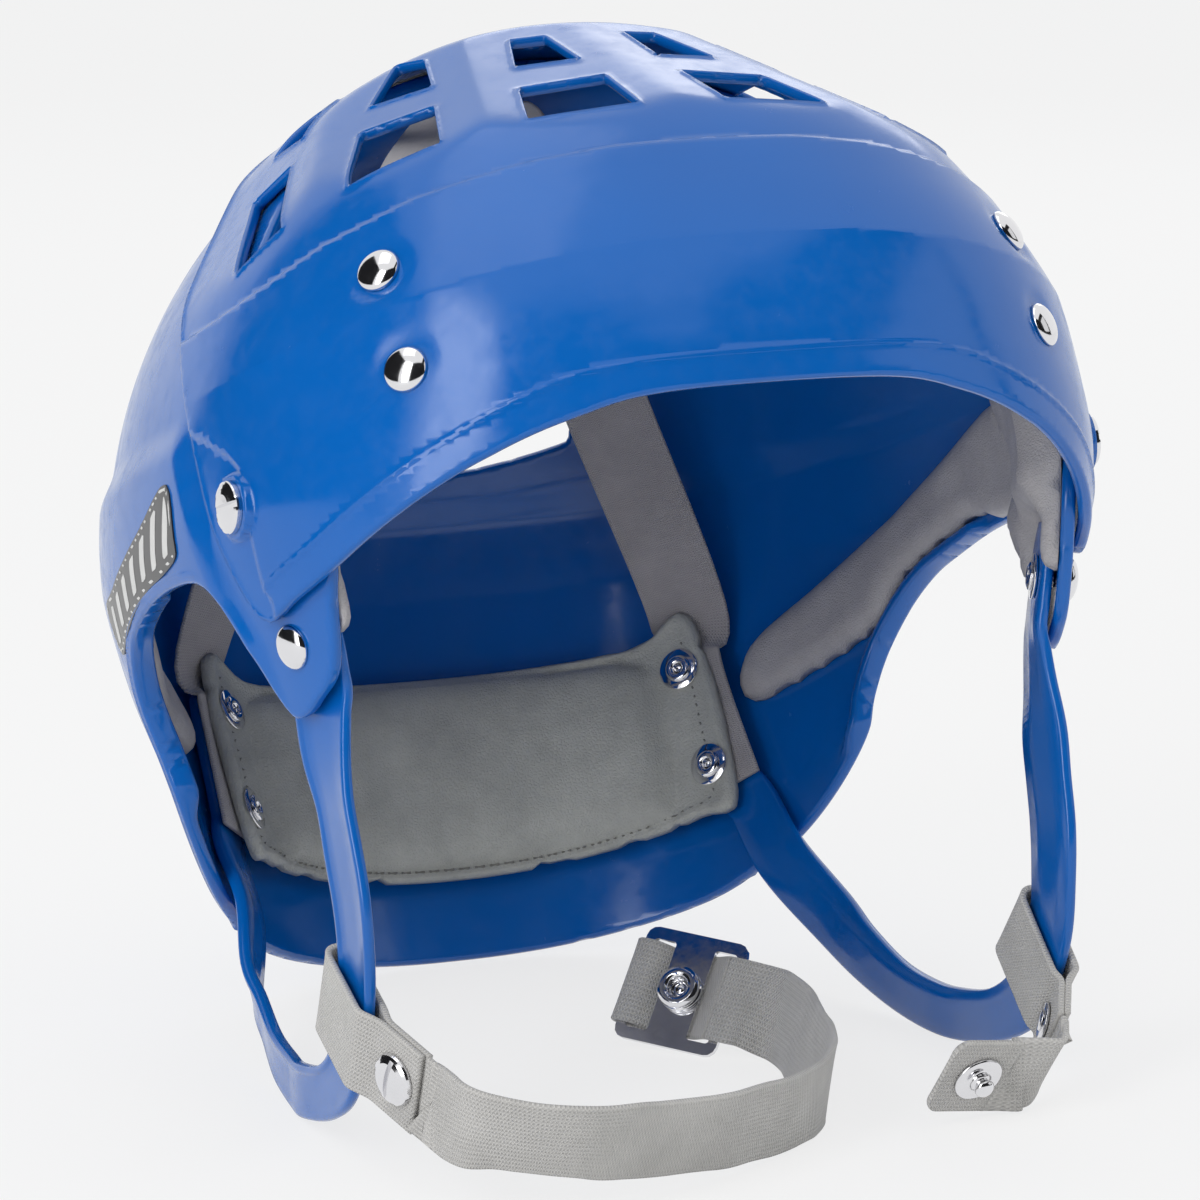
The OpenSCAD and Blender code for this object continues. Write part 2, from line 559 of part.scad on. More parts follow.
// Lower edge of an ear loop
loop_path = curve(loop_points, 2);
loop_turns = curve(loop_normals, 2);
loop_spans = curve(loop_widths, 2);
function loop_edge(i) = let(t = heading(loop_path, i), a = unit(cross(loop_turns[i], t)))
    loop_path[i] + a * loop_spans[i] / 2 * (a[2] > 0 ? -1 : 1);
low_edge = [for (i = [12:len(loop_path) - 8]) loop_edge(i)];
// The helmet leans back until the ear loops' feet and the rear rim stand on the floor
rim_y = shell_point(180, -87, 0, true)[1];
rim_z = rim_at[1] - rim_fall * (rim_y - rim_at[0]);
tilt = max([for (p = low_edge) atan2(rim_z - p[2], rim_y - p[1])]);
lift = rim_y * sin(tilt) - rim_z * cos(tilt) + 0.08;
// Moves the part so that its box is centred over the origin
shift_y = -5.67;
function settle(p) = [p[0], cos(tilt) * p[1] + sin(tilt) * p[2] + shift_y, cos(tilt) * p[2] - sin(tilt) * p[1] + lift];
module worn() translate([0, shift_y, lift]) rotate([-tilt, 0, 0]) children();

// Where the straps are wrapped round the loops, and the slope of the loop there
chin_at = settle(lug_point + [-3.5, 15.2, -78]);
snap_at = settle(lug_point + [-3.8, 19.1, -82.1]);
chin_slope = 23.1;
snap_slope = 40.1;
// Gap between the two plies of a wrap
ply_gap = 0.2;
// Half the room for a loop in its wrap: behind, ahead and across
wrap_back = loop_low_w / 2 + 8.2;
wrap_front = loop_low_w / 2 + 2.3;
wrap_half = loop_t / 2 + 2 * soft_gap + strap_t / 2;
// Distance from the loop to the button or rivet, and the radius of its head
chin_button_at = 19;
chin_button_r = 5.6;
snap_rivet_at = 14.8;
snap_rivet_r = 3.6;
// Places children at a wrap: X ahead along the strap, Y towards the wearer's head, Z along the loop
module at_wrap(side, at, slope) {
    on_side(side) translate(at) rotate([slope, 0, 0]) rotate([0, 0, -90]) mirror([0, 1, 0]) children();
}
// Inward drift of a strap that leaves its loop, at a distance ahead
function drift(p, ahead) = p < wrap_front ? 0 : ahead * (p - wrap_front);
// Flat route of a wrap: inner end, back round the loop, and out again
function wrap_end(button, r) = button + r + 0.9;
function wrap_route(button, r, ahead) = let(end = wrap_end(button, r), close = button - r - 0.8,
        d = (strap_t + ply_gap) / 2, c = -wrap_back + wrap_half)
    concat([[end, drift(end, ahead) + d], [close, drift(close, ahead) + d], [wrap_front, wrap_half]],
           [for (a = [90:30:270]) [c + wrap_half * cos(a), wrap_half * sin(a)]],
           [[wrap_front, -wrap_half], [close, drift(close, ahead) - d], [end, drift(end, ahead) - d]]);
module wrap(button, r, ahead) {
    translate([0, 0, -strap_w / 2]) linear_extrude(strap_w) polygon(ribbon(wrap_route(button, r, ahead), strap_t));
}
chin_ahead = 0.36;
snap_ahead = 0.4;
// Where a free strap bends: just beyond the end of its wrap
function bend_point(side, at, slope, button, r, ahead) = let(
        p = wrap_end(button, r) + strap_t / 2 + 0.1, q = drift(p, ahead))
    [side * (at[0] - q), at[1] - p * cos(slope), at[2] - p * sin(slope)];
chin_pivot = bend_point(-1, chin_at, chin_slope, chin_button_at, chin_button_r, chin_ahead);
snap_pivot = bend_point(1, snap_at, snap_slope, snap_rivet_at, snap_rivet_r, snap_ahead);
// Domed button or rivet through both layers of a wrap, and its washer inside
module at_button(side, at, slope, button, ahead) {
    at_wrap(side, at, slope) translate([button, drift(button, ahead), 0])
        rotate([0, 0, atan(ahead)]) rotate([90, 0, 0]) children();
}
two_straps = strap_t + ply_gap / 2;
module strap_button(r, rise) {
    rotate_extrude() polygon(concat(
        [for (a = [90:-15:0]) [cos(a) * r, two_straps + seat + 0.4 + rise * sin(a)]],
        [[r, two_straps + seat], [1.5, two_straps + seat], [1.5, -two_straps - 2 * seat - washer_t],
         [2.4, -two_straps - 2 * seat - washer_t], [2.1, -two_straps - washer_t - 0.6], [0, -two_straps - washer_t - 0.6]]));
}
module strap_washer() {
    translate([0, 0, -two_straps - seat - washer_t]) difference() {
        cylinder(washer_t, r = 4.2);
        translate([0, 0, -1]) cylinder(washer_t + 2, r = 1.5 + seat);
    }
}
module strap_hole() translate([0, 0, -6]) cylinder(12, r = 1.5 + hole_play);
module chin_wrap() color(webbing) difference() {
    at_wrap(-1, chin_at, chin_slope) wrap(chin_button_at, chin_button_r, chin_ahead);
    at_button(-1, chin_at, chin_slope, chin_button_at, chin_ahead) strap_hole();
}
module snap_wrap() color(webbing) difference() {
    at_wrap(1, snap_at, snap_slope) wrap(snap_rivet_at, snap_rivet_r, snap_ahead);
    at_button(1, snap_at, snap_slope, snap_rivet_at, snap_ahead) strap_hole();
}

module chin_button() color(chrome) difference() {
    at_button(-1, chin_at, chin_slope, chin_button_at, chin_ahead) strap_button(chin_button_r, 2);
    at_button(-1, chin_at, chin_slope, chin_button_at, chin_ahead)
        translate([-0.6, -9, two_straps + 1.4]) cube([1.2, 18, 5]);
}
module chin_washer() color(chrome)
    at_button(-1, chin_at, chin_slope, chin_button_at, chin_ahead) strap_washer();
module snap_rivet() color(chrome)
    at_button(1, snap_at, snap_slope, snap_rivet_at, snap_ahead) strap_button(snap_rivet_r, 1.6);
module snap_washer() color(chrome)
    at_button(1, snap_at, snap_slope, snap_rivet_at, snap_ahead) strap_washer();

// Chin strap from its bend to the slider, where it stands on the floor: points and the direction across
chin_run = [[-69.8, -103, 18.9], [-64.4, -109.7, 18.2], [-56.9, -114.3, 17.2],
            [-46.2, -115, 15.6], [-35.7, -112.2, 14], [-24.6, -108.5, 12.6], [-13.3, -104.5, 11.6], [-4, -99.2, 10.8],
            [3.9, -94.3, 10.2], [11.5, -88.3, 10], [17.3, -82.4, 10.2], [22.6, -74.1, 10.3], [26.7, -62.8, 10.4],
            [29.1, -50.9, 10.2], [31.1, -41.3, 10.1], [33.6, -31.2, 10.1], [34.5, -20.2, 10.1]];
chin_run_across = [[-0.04, -0.47, 0.88], [-0.07, -0.53, 0.85], [-0.1, -0.52, 0.85],
                   [-0.15, -0.51, 0.84], [-0.18, -0.5, 0.84], [-0.2, -0.5, 0.84], [-0.2, -0.5, 0.84],
                   [-0.2, -0.51, 0.83], [-0.2, -0.52, 0.82], [-0.2, -0.54, 0.81], [-0.2, -0.55, 0.8],
                   [-0.12, -0.54, 0.83], [-0.02, -0.5, 0.86], [0.1, -0.45, 0.88], [0.2, -0.4, 0.89],
                   [0.28, -0.15, 0.94], [0.33, 0.1, 0.94]];
// The slider's place and its directions: along the strap, across it and out of its face
slider_at = [19.8, 0.1 + shift_y, 12.5 + (strap_w - 20) / 2];
slider_x = unit([0.66, -0.745, -0.1]);
slider_y = unit(cross(cross(slider_x, [0.47, 0.34, 0.81]), slider_x));
slider_z = cross(slider_x, slider_y);
function on_slider(x, z) = slider_at + x * slider_x + z * slider_z;
module at_slider() multmatrix([[slider_x[0], slider_y[0], slider_z[0], slider_at[0]],
                               [slider_x[1], slider_y[1], slider_z[1], slider_at[1]],
                               [slider_x[2], slider_y[2], slider_z[2], slider_at[2]]]) children();
slider_t = 1.2;
slider_h = strap_w + 7;
slot_h = strap_w + 1.5;
strap_z = slider_t / 2 + 0.1 + strap_t / 2;
strap_join = 9.6;
// Shift of the run's first points when the wrap moves, fading out along the strap
chin_shift = chin_pivot - [-72.9, -87 + shift_y, 20.9];
function run_point(i) = chin_run[i] + [0, shift_y, (strap_w - 20) / 2] + chin_shift * pow(1 - i / 16, 2);
// Direction in which a strap leaves its wrap
function leave(side, slope, ahead) = unit([-side * ahead, -cos(slope), -sin(slope)]);
module chin_strap() color(webbing) {
    path = curve(concat([for (d = [0, 2, 4.5]) chin_pivot + d * leave(-1, chin_slope, chin_ahead)],
                        [for (i = [0:16]) run_point(i)],
                        [on_slider(18.5, 0.9), on_slider(13.5, strap_z), on_slider(strap_join, strap_z)]), 3);
    across = curve(concat([for (i = [0:2]) [0, -sin(chin_slope), cos(chin_slope)]],
                          chin_run_across, [slider_y, slider_y, slider_y]), 3);
    band(path, across, [for (p = path) strap_w], strap_t);
}
// End of the strap through the slider: over, under and back over its bars, then the tail behind
fold_route = [[strap_join - 0.1, strap_z], [9.1, strap_z], [5.3, -strap_z], [-5.3, -strap_z], [-9.1, strap_z],
              [-12.4, strap_z], [-13.7, 0.7], [-13.7, -0.7], [-12.4, -strap_z], [-10, -1.9], [-7, -3.3], [-4.8, -3.9]];
module slider_fold() color(webbing) difference() {
    at_slider() rotate([90, 0, 0]) translate([0, 0, -strap_w / 2])
        linear_extrude(strap_w) polygon(ribbon(fold_route, strap_t));
    at_slider() translate([0, 0, -5]) cylinder(6, r = socket_shank + hole_play);
}
// Outline of a rectangle with rounded corners
function rounded(w, h, r) = [for (i = [0:3]) for (a = [0:30:90]) let(
    sx = i == 0 || i == 3 ? 1 : -1, sy = i < 2 ? 1 : -1, b = a + 90 * i)
    [sx * (w / 2 - r) + r * cos(b), sy * (h / 2 - r) + r * sin(b)]];
module slider() color(chrome) at_slider() difference() {
    translate([0, 0, -slider_t / 2]) linear_extrude(slider_t) polygon(rounded(25, slider_h, 2.5));
    for (x = [-7.55, 7.55]) translate([x, 0, -2]) linear_extrude(4) polygon(rounded(5.5, slot_h, 0.8));
    translate([0, 0, -2]) cylinder(4, r = socket_shank + hole_play);
}
// Snap socket on the slider, with the rivet that holds it through the strap
socket_shank = 1.6;
socket_r = 5;
socket_h = 3.1;
socket_floor = 1.1;
// Pocket in the socket's floor for the head of its rivet: radius and depth
pocket_r = 2;
pocket_d = 0.7;
module snap_socket() color(chrome) at_slider() translate([0, 0, slider_t / 2 + seat]) difference() {
    union() {
        cylinder(socket_h - 0.8, r = socket_r);
        translate([0, 0, socket_h - 0.8]) cylinder(0.8, r1 = socket_r, r2 = socket_r - 0.8);
    }
    translate([0, 0, socket_floor]) cylinder(socket_h, r = snap_d / 2 + 0.1);
    translate([0, 0, socket_floor - pocket_d]) cylinder(socket_h, r = pocket_r);
    translate([0, 0, -1]) cylinder(3, r = socket_shank + seat);
}
module socket_rivet() color(chrome) at_slider() {
    top = slider_t / 2 + 2 * seat + socket_floor - pocket_d;
    low = -slider_t / 2 - strap_t - 0.1 - seat;
    rotate_extrude() polygon([[0, top + 0.5], [1.6, top + 0.5], [1.9, top + 0.3], [1.9, top], [socket_shank, top],
                              [socket_shank, low], [2.9, low], [2.5, low - 0.6], [0, low - 0.6]]);
}

// Snap strap: points and directions across, from its bend to the flap that carries the stud
flap_at = [51.8, -85.4 + shift_y, 10.9];
flap_way = -unit([0.97, 0.19, -0.15]);
flap_across = unit(cross(cross(flap_way, [0.3, -0.465, 0.833]), flap_way));
snap_run = [[70.2, -82, 10.9], [65, -84, 10.6]];
snap_run_across = [[0.2, -0.52, 0.83], [0.28, -0.47, 0.83]];
snap_shift = snap_pivot - [75.5, -74.3 + shift_y, 14.6];
snap_control = concat([for (d = [0, 1.5, 3]) snap_pivot + d * leave(1, snap_slope, snap_ahead)],
    [for (i = [0:1]) snap_run[i] + [0, shift_y, 0] + snap_shift * (1 - i / 2)],
    [for (d = [-8.5, -6, 0, 6, 9]) flap_at + d * flap_way]);
snap_turns = concat([for (i = [0:2]) [0, -sin(snap_slope), cos(snap_slope)]],
    snap_run_across, [for (i = [0:4]) flap_across]);
// How much narrower the flap is at its rounded end: steps from the end, and by how much
flap_corner = [[0, 6], [1, 2.4], [2, 0.6], [3, 0]];
module snap_strap() color(webbing) difference() {
    path = curve(snap_control, 3);
    last = len(path) - 1;
    wide = [for (i = [0:last]) strap_w - lookup(last - i, flap_corner)];
    band(path, curve(snap_turns, 3), wide, strap_t);
    at_flap() translate([0, 0, -5]) cylinder(10, r = 1.5 + hole_play);
}
flap_out = cross(flap_across, flap_way);
module at_flap() multmatrix([[flap_way[0], -flap_across[0], flap_out[0], flap_at[0]],
                             [flap_way[1], -flap_across[1], flap_out[1], flap_at[1]],
                             [flap_way[2], -flap_across[2], flap_out[2], flap_at[2]]]) children();
module snap_stud() color(chrome) at_flap() {
    base = strap_t / 2 + seat;
    r = snap_d / 2;
    rotate_extrude() polygon([[0, base + 4.6], [r * 0.5, base + 4.5], [r * 0.9, base + 4],
                              [r, base + 3.6], [r, base + 2.6],
                              [r * 0.8, base + 2.2], [r * 0.8, base + 1.6], [r, base + 1.2], [r, base + 0.9],
                              [5.2, base + 0.9], [5.6, base + 0.5], [5.6, base], [1.5, base],
                              [1.5, -base - 0.1], [3, -base - 0.1], [2.6, -base - 0.7], [0, -base - 0.7]]);
}

module left_side_pad() side_pad(1);
module right_side_pad() side_pad(-1);
module left_crown_strap() crown_strap(1);
module right_crown_strap() crown_strap(-1);
module left_size_screw() size_screw(1);
module right_size_screw() size_screw(-1);
module left_size_nut() size_nut(1);
module right_size_nut() size_nut(-1);
module left_ear_loop() ear_loop(1);
module right_ear_loop() ear_loop(-1);
module left_label() label(1);
module right_label() label(-1);

worn() front_shell();
worn() rear_shell();
worn() brow_pad();
worn() neck_pad();
worn() left_side_pad();
worn() right_side_pad();
worn() left_crown_strap();
worn() right_crown_strap();
worn() brow_rivets();
worn() brow_washers();
worn() neck_rivets();
worn() neck_washers();
worn() lug_rivets();
worn() lug_washers();
worn() left_size_screw();
worn() right_size_screw();
worn() left_size_nut();
worn() right_size_nut();
worn() left_ear_loop();
worn() right_ear_loop();
worn() left_label();
worn() right_label();
chin_wrap();
chin_button();
chin_washer();
chin_strap();
slider_fold();
slider();
snap_socket();
socket_rivet();
snap_wrap();
snap_rivet();
snap_washer();
snap_strap();
snap_stud();
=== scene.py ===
# %% [markdown]
# # An ice hockey helmet, dressed in Blender
# The imported model gives every solid its place. This lesson keeps those places and gives each piece the
# surface that the real helmet has: smooth moulded shells, grained vinyl pads, woven webbing and chrome.
# The first cell loads the frame.

# %% Frame
from math import atan, cos, pi, radians, sin
import bmesh
import bpy
import numpy as np
from mathutils import Matrix, Vector, noise

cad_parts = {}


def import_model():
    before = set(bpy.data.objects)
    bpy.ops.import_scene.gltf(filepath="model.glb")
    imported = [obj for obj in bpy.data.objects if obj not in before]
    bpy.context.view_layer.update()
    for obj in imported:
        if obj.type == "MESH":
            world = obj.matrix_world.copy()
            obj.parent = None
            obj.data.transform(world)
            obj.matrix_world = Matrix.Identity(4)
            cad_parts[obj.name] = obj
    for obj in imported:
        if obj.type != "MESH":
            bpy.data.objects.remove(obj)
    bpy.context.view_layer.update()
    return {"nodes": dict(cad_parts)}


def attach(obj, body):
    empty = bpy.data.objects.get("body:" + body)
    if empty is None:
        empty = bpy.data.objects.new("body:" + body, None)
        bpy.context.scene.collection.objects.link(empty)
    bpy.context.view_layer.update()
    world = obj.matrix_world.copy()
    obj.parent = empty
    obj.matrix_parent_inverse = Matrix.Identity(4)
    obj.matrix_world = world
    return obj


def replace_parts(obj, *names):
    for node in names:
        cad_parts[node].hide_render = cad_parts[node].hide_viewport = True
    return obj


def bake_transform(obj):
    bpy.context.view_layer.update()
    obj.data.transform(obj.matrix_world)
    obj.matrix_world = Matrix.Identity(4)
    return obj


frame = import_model()

# %% [markdown]
# The camera comes first. It stands low in front of the helmet and a little to the wearer's right, far away
# with a long lens, so that the brim hardly bends. Its place and its three directions were worked out from
# the rivets and edges in the photograph, and go straight into the camera's matrix.

# %% Camera
CAMERA_AT = Vector((-0.451722, -1.165469, 0.336494))
CAMERA_RIGHT = Vector((0.930418, -0.366253, -0.013486))
CAMERA_UP = Vector((0.07995, 0.166916, 0.982724))
CAMERA_BACK = Vector((-0.357675, -0.915422, 0.184583))
SENSOR, LENS, NEAR_CLIP = 36, 174, 0.05
MIDDLE = Vector((0, 0, 0.11))
camera_data = bpy.data.cameras.new("camera")
camera_data.sensor_width, camera_data.lens, camera_data.clip_start = SENSOR, LENS, NEAR_CLIP
camera = bpy.data.objects.new("camera", camera_data)
camera.matrix_world = Matrix((CAMERA_RIGHT, CAMERA_UP, CAMERA_BACK)).transposed().to_4x4()
camera.location = CAMERA_AT
scene = bpy.context.scene
scene.collection.objects.link(camera)
scene.camera = camera
scene.view_settings.view_transform = "Standard"
print("camera", round((CAMERA_AT - MIDDLE).length, 3), "m from the helmet's middle")

# %% [markdown]
# A studio photograph of a glossy shell is mostly a picture of its lamps. A tall soft box on the left draws
# the upright streak on the brow, a wide one above lights the crown, and a large one on the right fills the
# shaded side, and a low one behind edges the back. The world is pale to the camera and to mirrors, and a
# little greyer for plain light.

# %% Light
LAMPS = [("left_box", (-1.12, -0.72, 0.66), 0.46, 1.3, 8), ("right_box", (1.7, -0.9, 0.9), 1.2, 1.2, 3.5),
         ("top_box", (-0.3, 0.3, 1.8), 1.4, 0.9, 3), ("back_box", (0.9, 1.5, 0.9), 1.0, 0.5, 2)]
PALE, PLAIN, PLAIN_STRENGTH = (0.94, 0.94, 0.94, 1), (0.86, 0.87, 0.88, 1), 0.82
for name, place, width, height, power in LAMPS:
    lamp = bpy.data.lights.new(name, "AREA")
    lamp.shape, lamp.size, lamp.size_y, lamp.energy = "RECTANGLE", width, height, power
    lamp_object = bpy.data.objects.new(name, lamp)
    lamp_object.location = place
    lamp_object.rotation_euler = (MIDDLE - Vector(place)).to_track_quat("-Z", "Y").to_euler()
    scene.collection.objects.link(lamp_object)


def node(tree, kind, **values):
    """Adds a shader node, sets its properties, and fills its sockets by name."""
    made = tree.nodes.new(kind)
    for key, value in values.items():
        if key in made.inputs:
            made.inputs[key].default_value = value
        else:
            setattr(made, key, value)
    return made


def combine(tree, operation, *values):
    """One step of arithmetic on sockets and plain numbers."""
    step = node(tree, "ShaderNodeMath", operation=operation)
    for slot, value in zip(step.inputs, values):
        if isinstance(value, float):
            slot.default_value = value
        else:
            tree.links.new(value, slot)
    return step.outputs[0]


def mixed(tree, *sockets):
    """Mixes two shaders by a share: the share first, then the shader at 0 and the shader at 1."""
    mix = node(tree, "ShaderNodeMixShader")
    for slot, socket in zip(mix.inputs, sockets):
        tree.links.new(socket, slot)
    return mix.outputs[0]


def seen_ray(tree):
    """1 for the rays that see a backdrop: from the camera, from mirrors and through glass."""
    rays = node(tree, "ShaderNodeLightPath").outputs
    first = combine(tree, "MAXIMUM", rays["Is Camera Ray"], rays["Is Glossy Ray"])
    return combine(tree, "MAXIMUM", first, rays["Is Transmission Ray"])


world = bpy.data.worlds.new("studio")
scene.world = world
world.use_nodes = True
sky = world.node_tree
sky.nodes.clear()
plain = node(sky, "ShaderNodeBackground", Color=PLAIN, Strength=PLAIN_STRENGTH)
pale = node(sky, "ShaderNodeBackground", Color=PALE, Strength=1.0)
world_out = node(sky, "ShaderNodeOutputWorld")
sky.links.new(mixed(sky, seen_ray(sky), plain.outputs[0], pale.outputs[0]), world_out.inputs[0])
print("lamps", len(LAMPS))

# %% [markdown]
# Materials come next, because every piece takes one as it is made. The plastic is a smooth gloss with the
# faint ripple of a moulding and a few dull rubs. The vinyl has a pebbled grain, made from Voronoi cells, and
# soft blotches. The webbing reads a map that runs in metres along each strap, so that its ribs follow it, and
# its colour is darker between the ribs, which is painted shade.

# %% Materials
def srgb(r, g, b):
    """A colour as an eye dropper gives it, turned into the linear values that shaders use."""
    return tuple((c / 255 / 12.92) if c < 11 else ((c / 255 + 0.055) / 1.055) ** 2.4 for c in (r, g, b)) + (1,)


def new_material(name, roughness, metallic=0.0, **sockets):
    material = bpy.data.materials.new(name)
    material.use_nodes = True
    shader = material.node_tree.nodes["Principled BSDF"]
    shader.inputs["Metallic"].default_value = metallic
    shader.inputs["Roughness"].default_value = roughness
    for key, value in sockets.items():
        shader.inputs[key.replace("_", " ")].default_value = value
    return material, material.node_tree, shader


def noise_of(tree, scale, detail=3.0, rough=0.5, where="Object"):
    place = node(tree, "ShaderNodeTexCoord")
    grain = node(tree, "ShaderNodeTexNoise", Scale=scale, Detail=detail, Roughness=rough)
    tree.links.new(place.outputs[where], grain.inputs["Vector"])
    return grain.outputs["Fac"]


def between(tree, value, low, high, from_low=0.3, from_high=0.7):
    """Spreads a value over another range."""
    spread = node(tree, "ShaderNodeMapRange")
    for key, number in (("From Min", from_low), ("From Max", from_high), ("To Min", low), ("To Max", high)):
        spread.inputs[key].default_value = number
    tree.links.new(value, spread.inputs["Value"])
    return spread.outputs["Result"]


def two_colours(tree, value, first, second):
    mix = node(tree, "ShaderNodeMix", data_type="RGBA")
    mix.inputs["A"].default_value = first
    mix.inputs["B"].default_value = second
    tree.links.new(value, mix.inputs["Factor"])
    return mix.outputs["Result"]


def bump(tree, shader, height, distance, strength=1.0, before=None):
    relief = node(tree, "ShaderNodeBump", Strength=strength, Distance=distance)
    tree.links.new(height, relief.inputs["Height"])
    if before:
        tree.links.new(before.outputs["Normal"], relief.inputs["Normal"])
    tree.links.new(relief.outputs["Normal"], shader.inputs["Normal"])
    return relief


def plastic(name, main, deep):
    material, tree, shader = new_material(name, 0.24, Specular_IOR_Level=0.5)
    cloud = noise_of(tree, 14, 2)
    tree.links.new(two_colours(tree, between(tree, cloud, 0, 1), main, deep), shader.inputs["Base Color"])
    rubs = noise_of(tree, 160, 6, 0.7)
    tree.links.new(between(tree, rubs, 0.13, 0.3, 0.4, 0.75), shader.inputs["Roughness"])
    ripple = bump(tree, shader, noise_of(tree, 60, 1), 0.0003, 0.08)
    bump(tree, shader, noise_of(tree, 1400, 3), 0.00002, 0.3, ripple)
    return material


def vinyl(name, light, dark, cell=1100, roughness=0.42):
    material, tree, shader = new_material(name, roughness, Coat_Weight=0.1, Coat_Roughness=0.35)
    blotch = noise_of(tree, 60, 5, 0.65)
    tree.links.new(two_colours(tree, between(tree, blotch, 0, 1), dark, light), shader.inputs["Base Color"])
    place = node(tree, "ShaderNodeTexCoord")
    cells = node(tree, "ShaderNodeTexVoronoi", feature="DISTANCE_TO_EDGE", Scale=cell, Randomness=1.0)
    tree.links.new(place.outputs["Object"], cells.inputs["Vector"])
    pebble = between(tree, cells.outputs["Distance"], 0, 1, 0.0, 0.28)
    grain = bump(tree, shader, pebble, 0.00016, 0.6)
    creases = bump(tree, shader, noise_of(tree, 320, 4, 0.6), 0.0004, 0.35, grain)
    bump(tree, shader, noise_of(tree, 55, 2), 0.0012, 0.3, creases)
    tree.links.new(between(tree, noise_of(tree, 500, 4), roughness - 0.08, roughness + 0.16),
                   shader.inputs["Roughness"])
    return material


def woven(name, light, dark, rib=0.00075, yarn=0.0011, relief=0.00022):
    """Webbing: ribs across the strap, crossed by finer warp yarns, on a map in metres. Its colour is painted shade,
    darker in the low places of the weave.
    """
    material, tree, shader = new_material(name, 0.72, Sheen_Weight=0.25, Sheen_Roughness=0.5)
    place = node(tree, "ShaderNodeUVMap", uv_map="weave")
    split = node(tree, "ShaderNodeSeparateXYZ")
    tree.links.new(place.outputs["UV"], split.inputs[0])
    waves = [combine(tree, "SINE", combine(tree, "MULTIPLY", split.outputs[side], 2 * pi / pitch))
             for side, pitch in (("X", rib), ("Y", yarn))]
    height = combine(tree, "MULTIPLY_ADD", waves[0], 0.45, combine(tree, "MULTIPLY", *waves))
    # painted shade: the colour follows the weave's height, darker in its grooves than on its ribs
    shade = between(tree, height, 0, 1, -1.2, 1.0)
    base = two_colours(tree, shade, dark, light)
    soil = between(tree, noise_of(tree, 70, 4, 0.6), 0.86, 1.04)
    tint = node(tree, "ShaderNodeMix", data_type="RGBA", blend_type="MULTIPLY")
    tint.inputs["Factor"].default_value = 1
    tree.links.new(base, tint.inputs["A"])
    grey = node(tree, "ShaderNodeCombineXYZ")
    for axis in range(3):
        tree.links.new(soil, grey.inputs[axis])
    tree.links.new(grey.outputs[0], tint.inputs["B"])
    tree.links.new(tint.outputs["Result"], shader.inputs["Base Color"])
    fuzz = bump(tree, shader, height, relief, 0.7)
    bump(tree, shader, noise_of(tree, 2600, 3), 0.0001, 0.4, fuzz)
    return material


def metal(name, colour, roughness):
    material, tree, shader = new_material(name, roughness, metallic=1.0, Base_Color=colour)
    tree.links.new(between(tree, noise_of(tree, 420, 5, 0.65), roughness * 0.6, roughness * 2.2),
                   shader.inputs["Roughness"])
    bump(tree, shader, noise_of(tree, 260, 2), 0.00012, 0.15)
    return material


BLUE = plastic("blue_plastic", srgb(2, 96, 181), srgb(1, 90, 172))
GREY_VINYL = vinyl("grey_vinyl", srgb(182, 183, 177), srgb(158, 159, 154))
SIDE_VINYL = vinyl("side_vinyl", srgb(184, 181, 182), srgb(166, 163, 166), cell=1500, roughness=0.46)
CROWN_WEB = woven("crown_webbing", srgb(176, 172, 174), srgb(148, 145, 148), rib=0.0006, yarn=0.0008, relief=0.00012)
CHIN_WEB = woven("chin_webbing", srgb(208, 206, 202), srgb(178, 176, 173))
CHROME = metal("chrome", (0.78, 0.78, 0.8, 1), 0.07)
THREAD, _, _ = new_material("thread", 0.6, Base_Color=srgb(120, 120, 116))


def printed(name, roughness, scale, first, second, **sockets):
    """A thin film whose colour wanders a little."""
    material, tree, shader = new_material(name, roughness, **sockets)
    tree.links.new(two_colours(tree, noise_of(tree, scale, 4), first, second), shader.inputs["Base Color"])
    return material


LABEL = printed("label_film", 0.3, 200, srgb(34, 34, 36), srgb(46, 46, 48), Coat_Weight=0.2, Coat_Roughness=0.2)
STRIPE = printed("label_stripe", 0.35, 300, srgb(196, 196, 194), srgb(214, 214, 212))
print("materials", len(bpy.data.materials))

# %% [markdown]
# The floor is one pale sheet that the helmet stands on, and it isn't part of the helmet. To the camera and to
# mirrors four fifths of it is an even paper white. The rest is lit like anything else, so that it keeps the soft
# shadow under the rim and the ear loops. Three dark cards stand around the camera, as in a real studio. Only
# mirrors see them: they give the chrome its black.

# %% Floor and cards
FLOOR_REACH, GLOW_SHARE = 6, 0.8
CARD_AWAY, CARD_FOOT, CARD_TOP = 2.6, 0.02, 2.9


def stage_sheet(name, corners, material):
    mesh = bpy.data.meshes.new(name)
    mesh.from_pydata(corners, [], [(0, 1, 2, 3)])
    mesh.materials.append(material)
    sheet = bpy.data.objects.new(name, mesh)
    scene.collection.objects.link(sheet)
    return sheet


paper, tree, shader = new_material("floor_paper", 0.9, Specular_IOR_Level=0.1)
tree.links.new(two_colours(tree, noise_of(tree, 3, 2), (0.9, 0.9, 0.9, 1), (0.92, 0.92, 0.92, 1)),
               shader.inputs["Base Color"])
glow = node(tree, "ShaderNodeEmission", Color=PALE, Strength=1.0)
share = combine(tree, "MULTIPLY", seen_ray(tree), GLOW_SHARE)
tree.links.new(mixed(tree, share, shader.outputs[0], glow.outputs[0]),
               tree.nodes["Material Output"].inputs["Surface"])
stage_sheet("floor", [(x * FLOOR_REACH, y * FLOOR_REACH, 0) for x, y in ((-1, -1), (1, -1), (1, 1), (-1, 1))], paper)

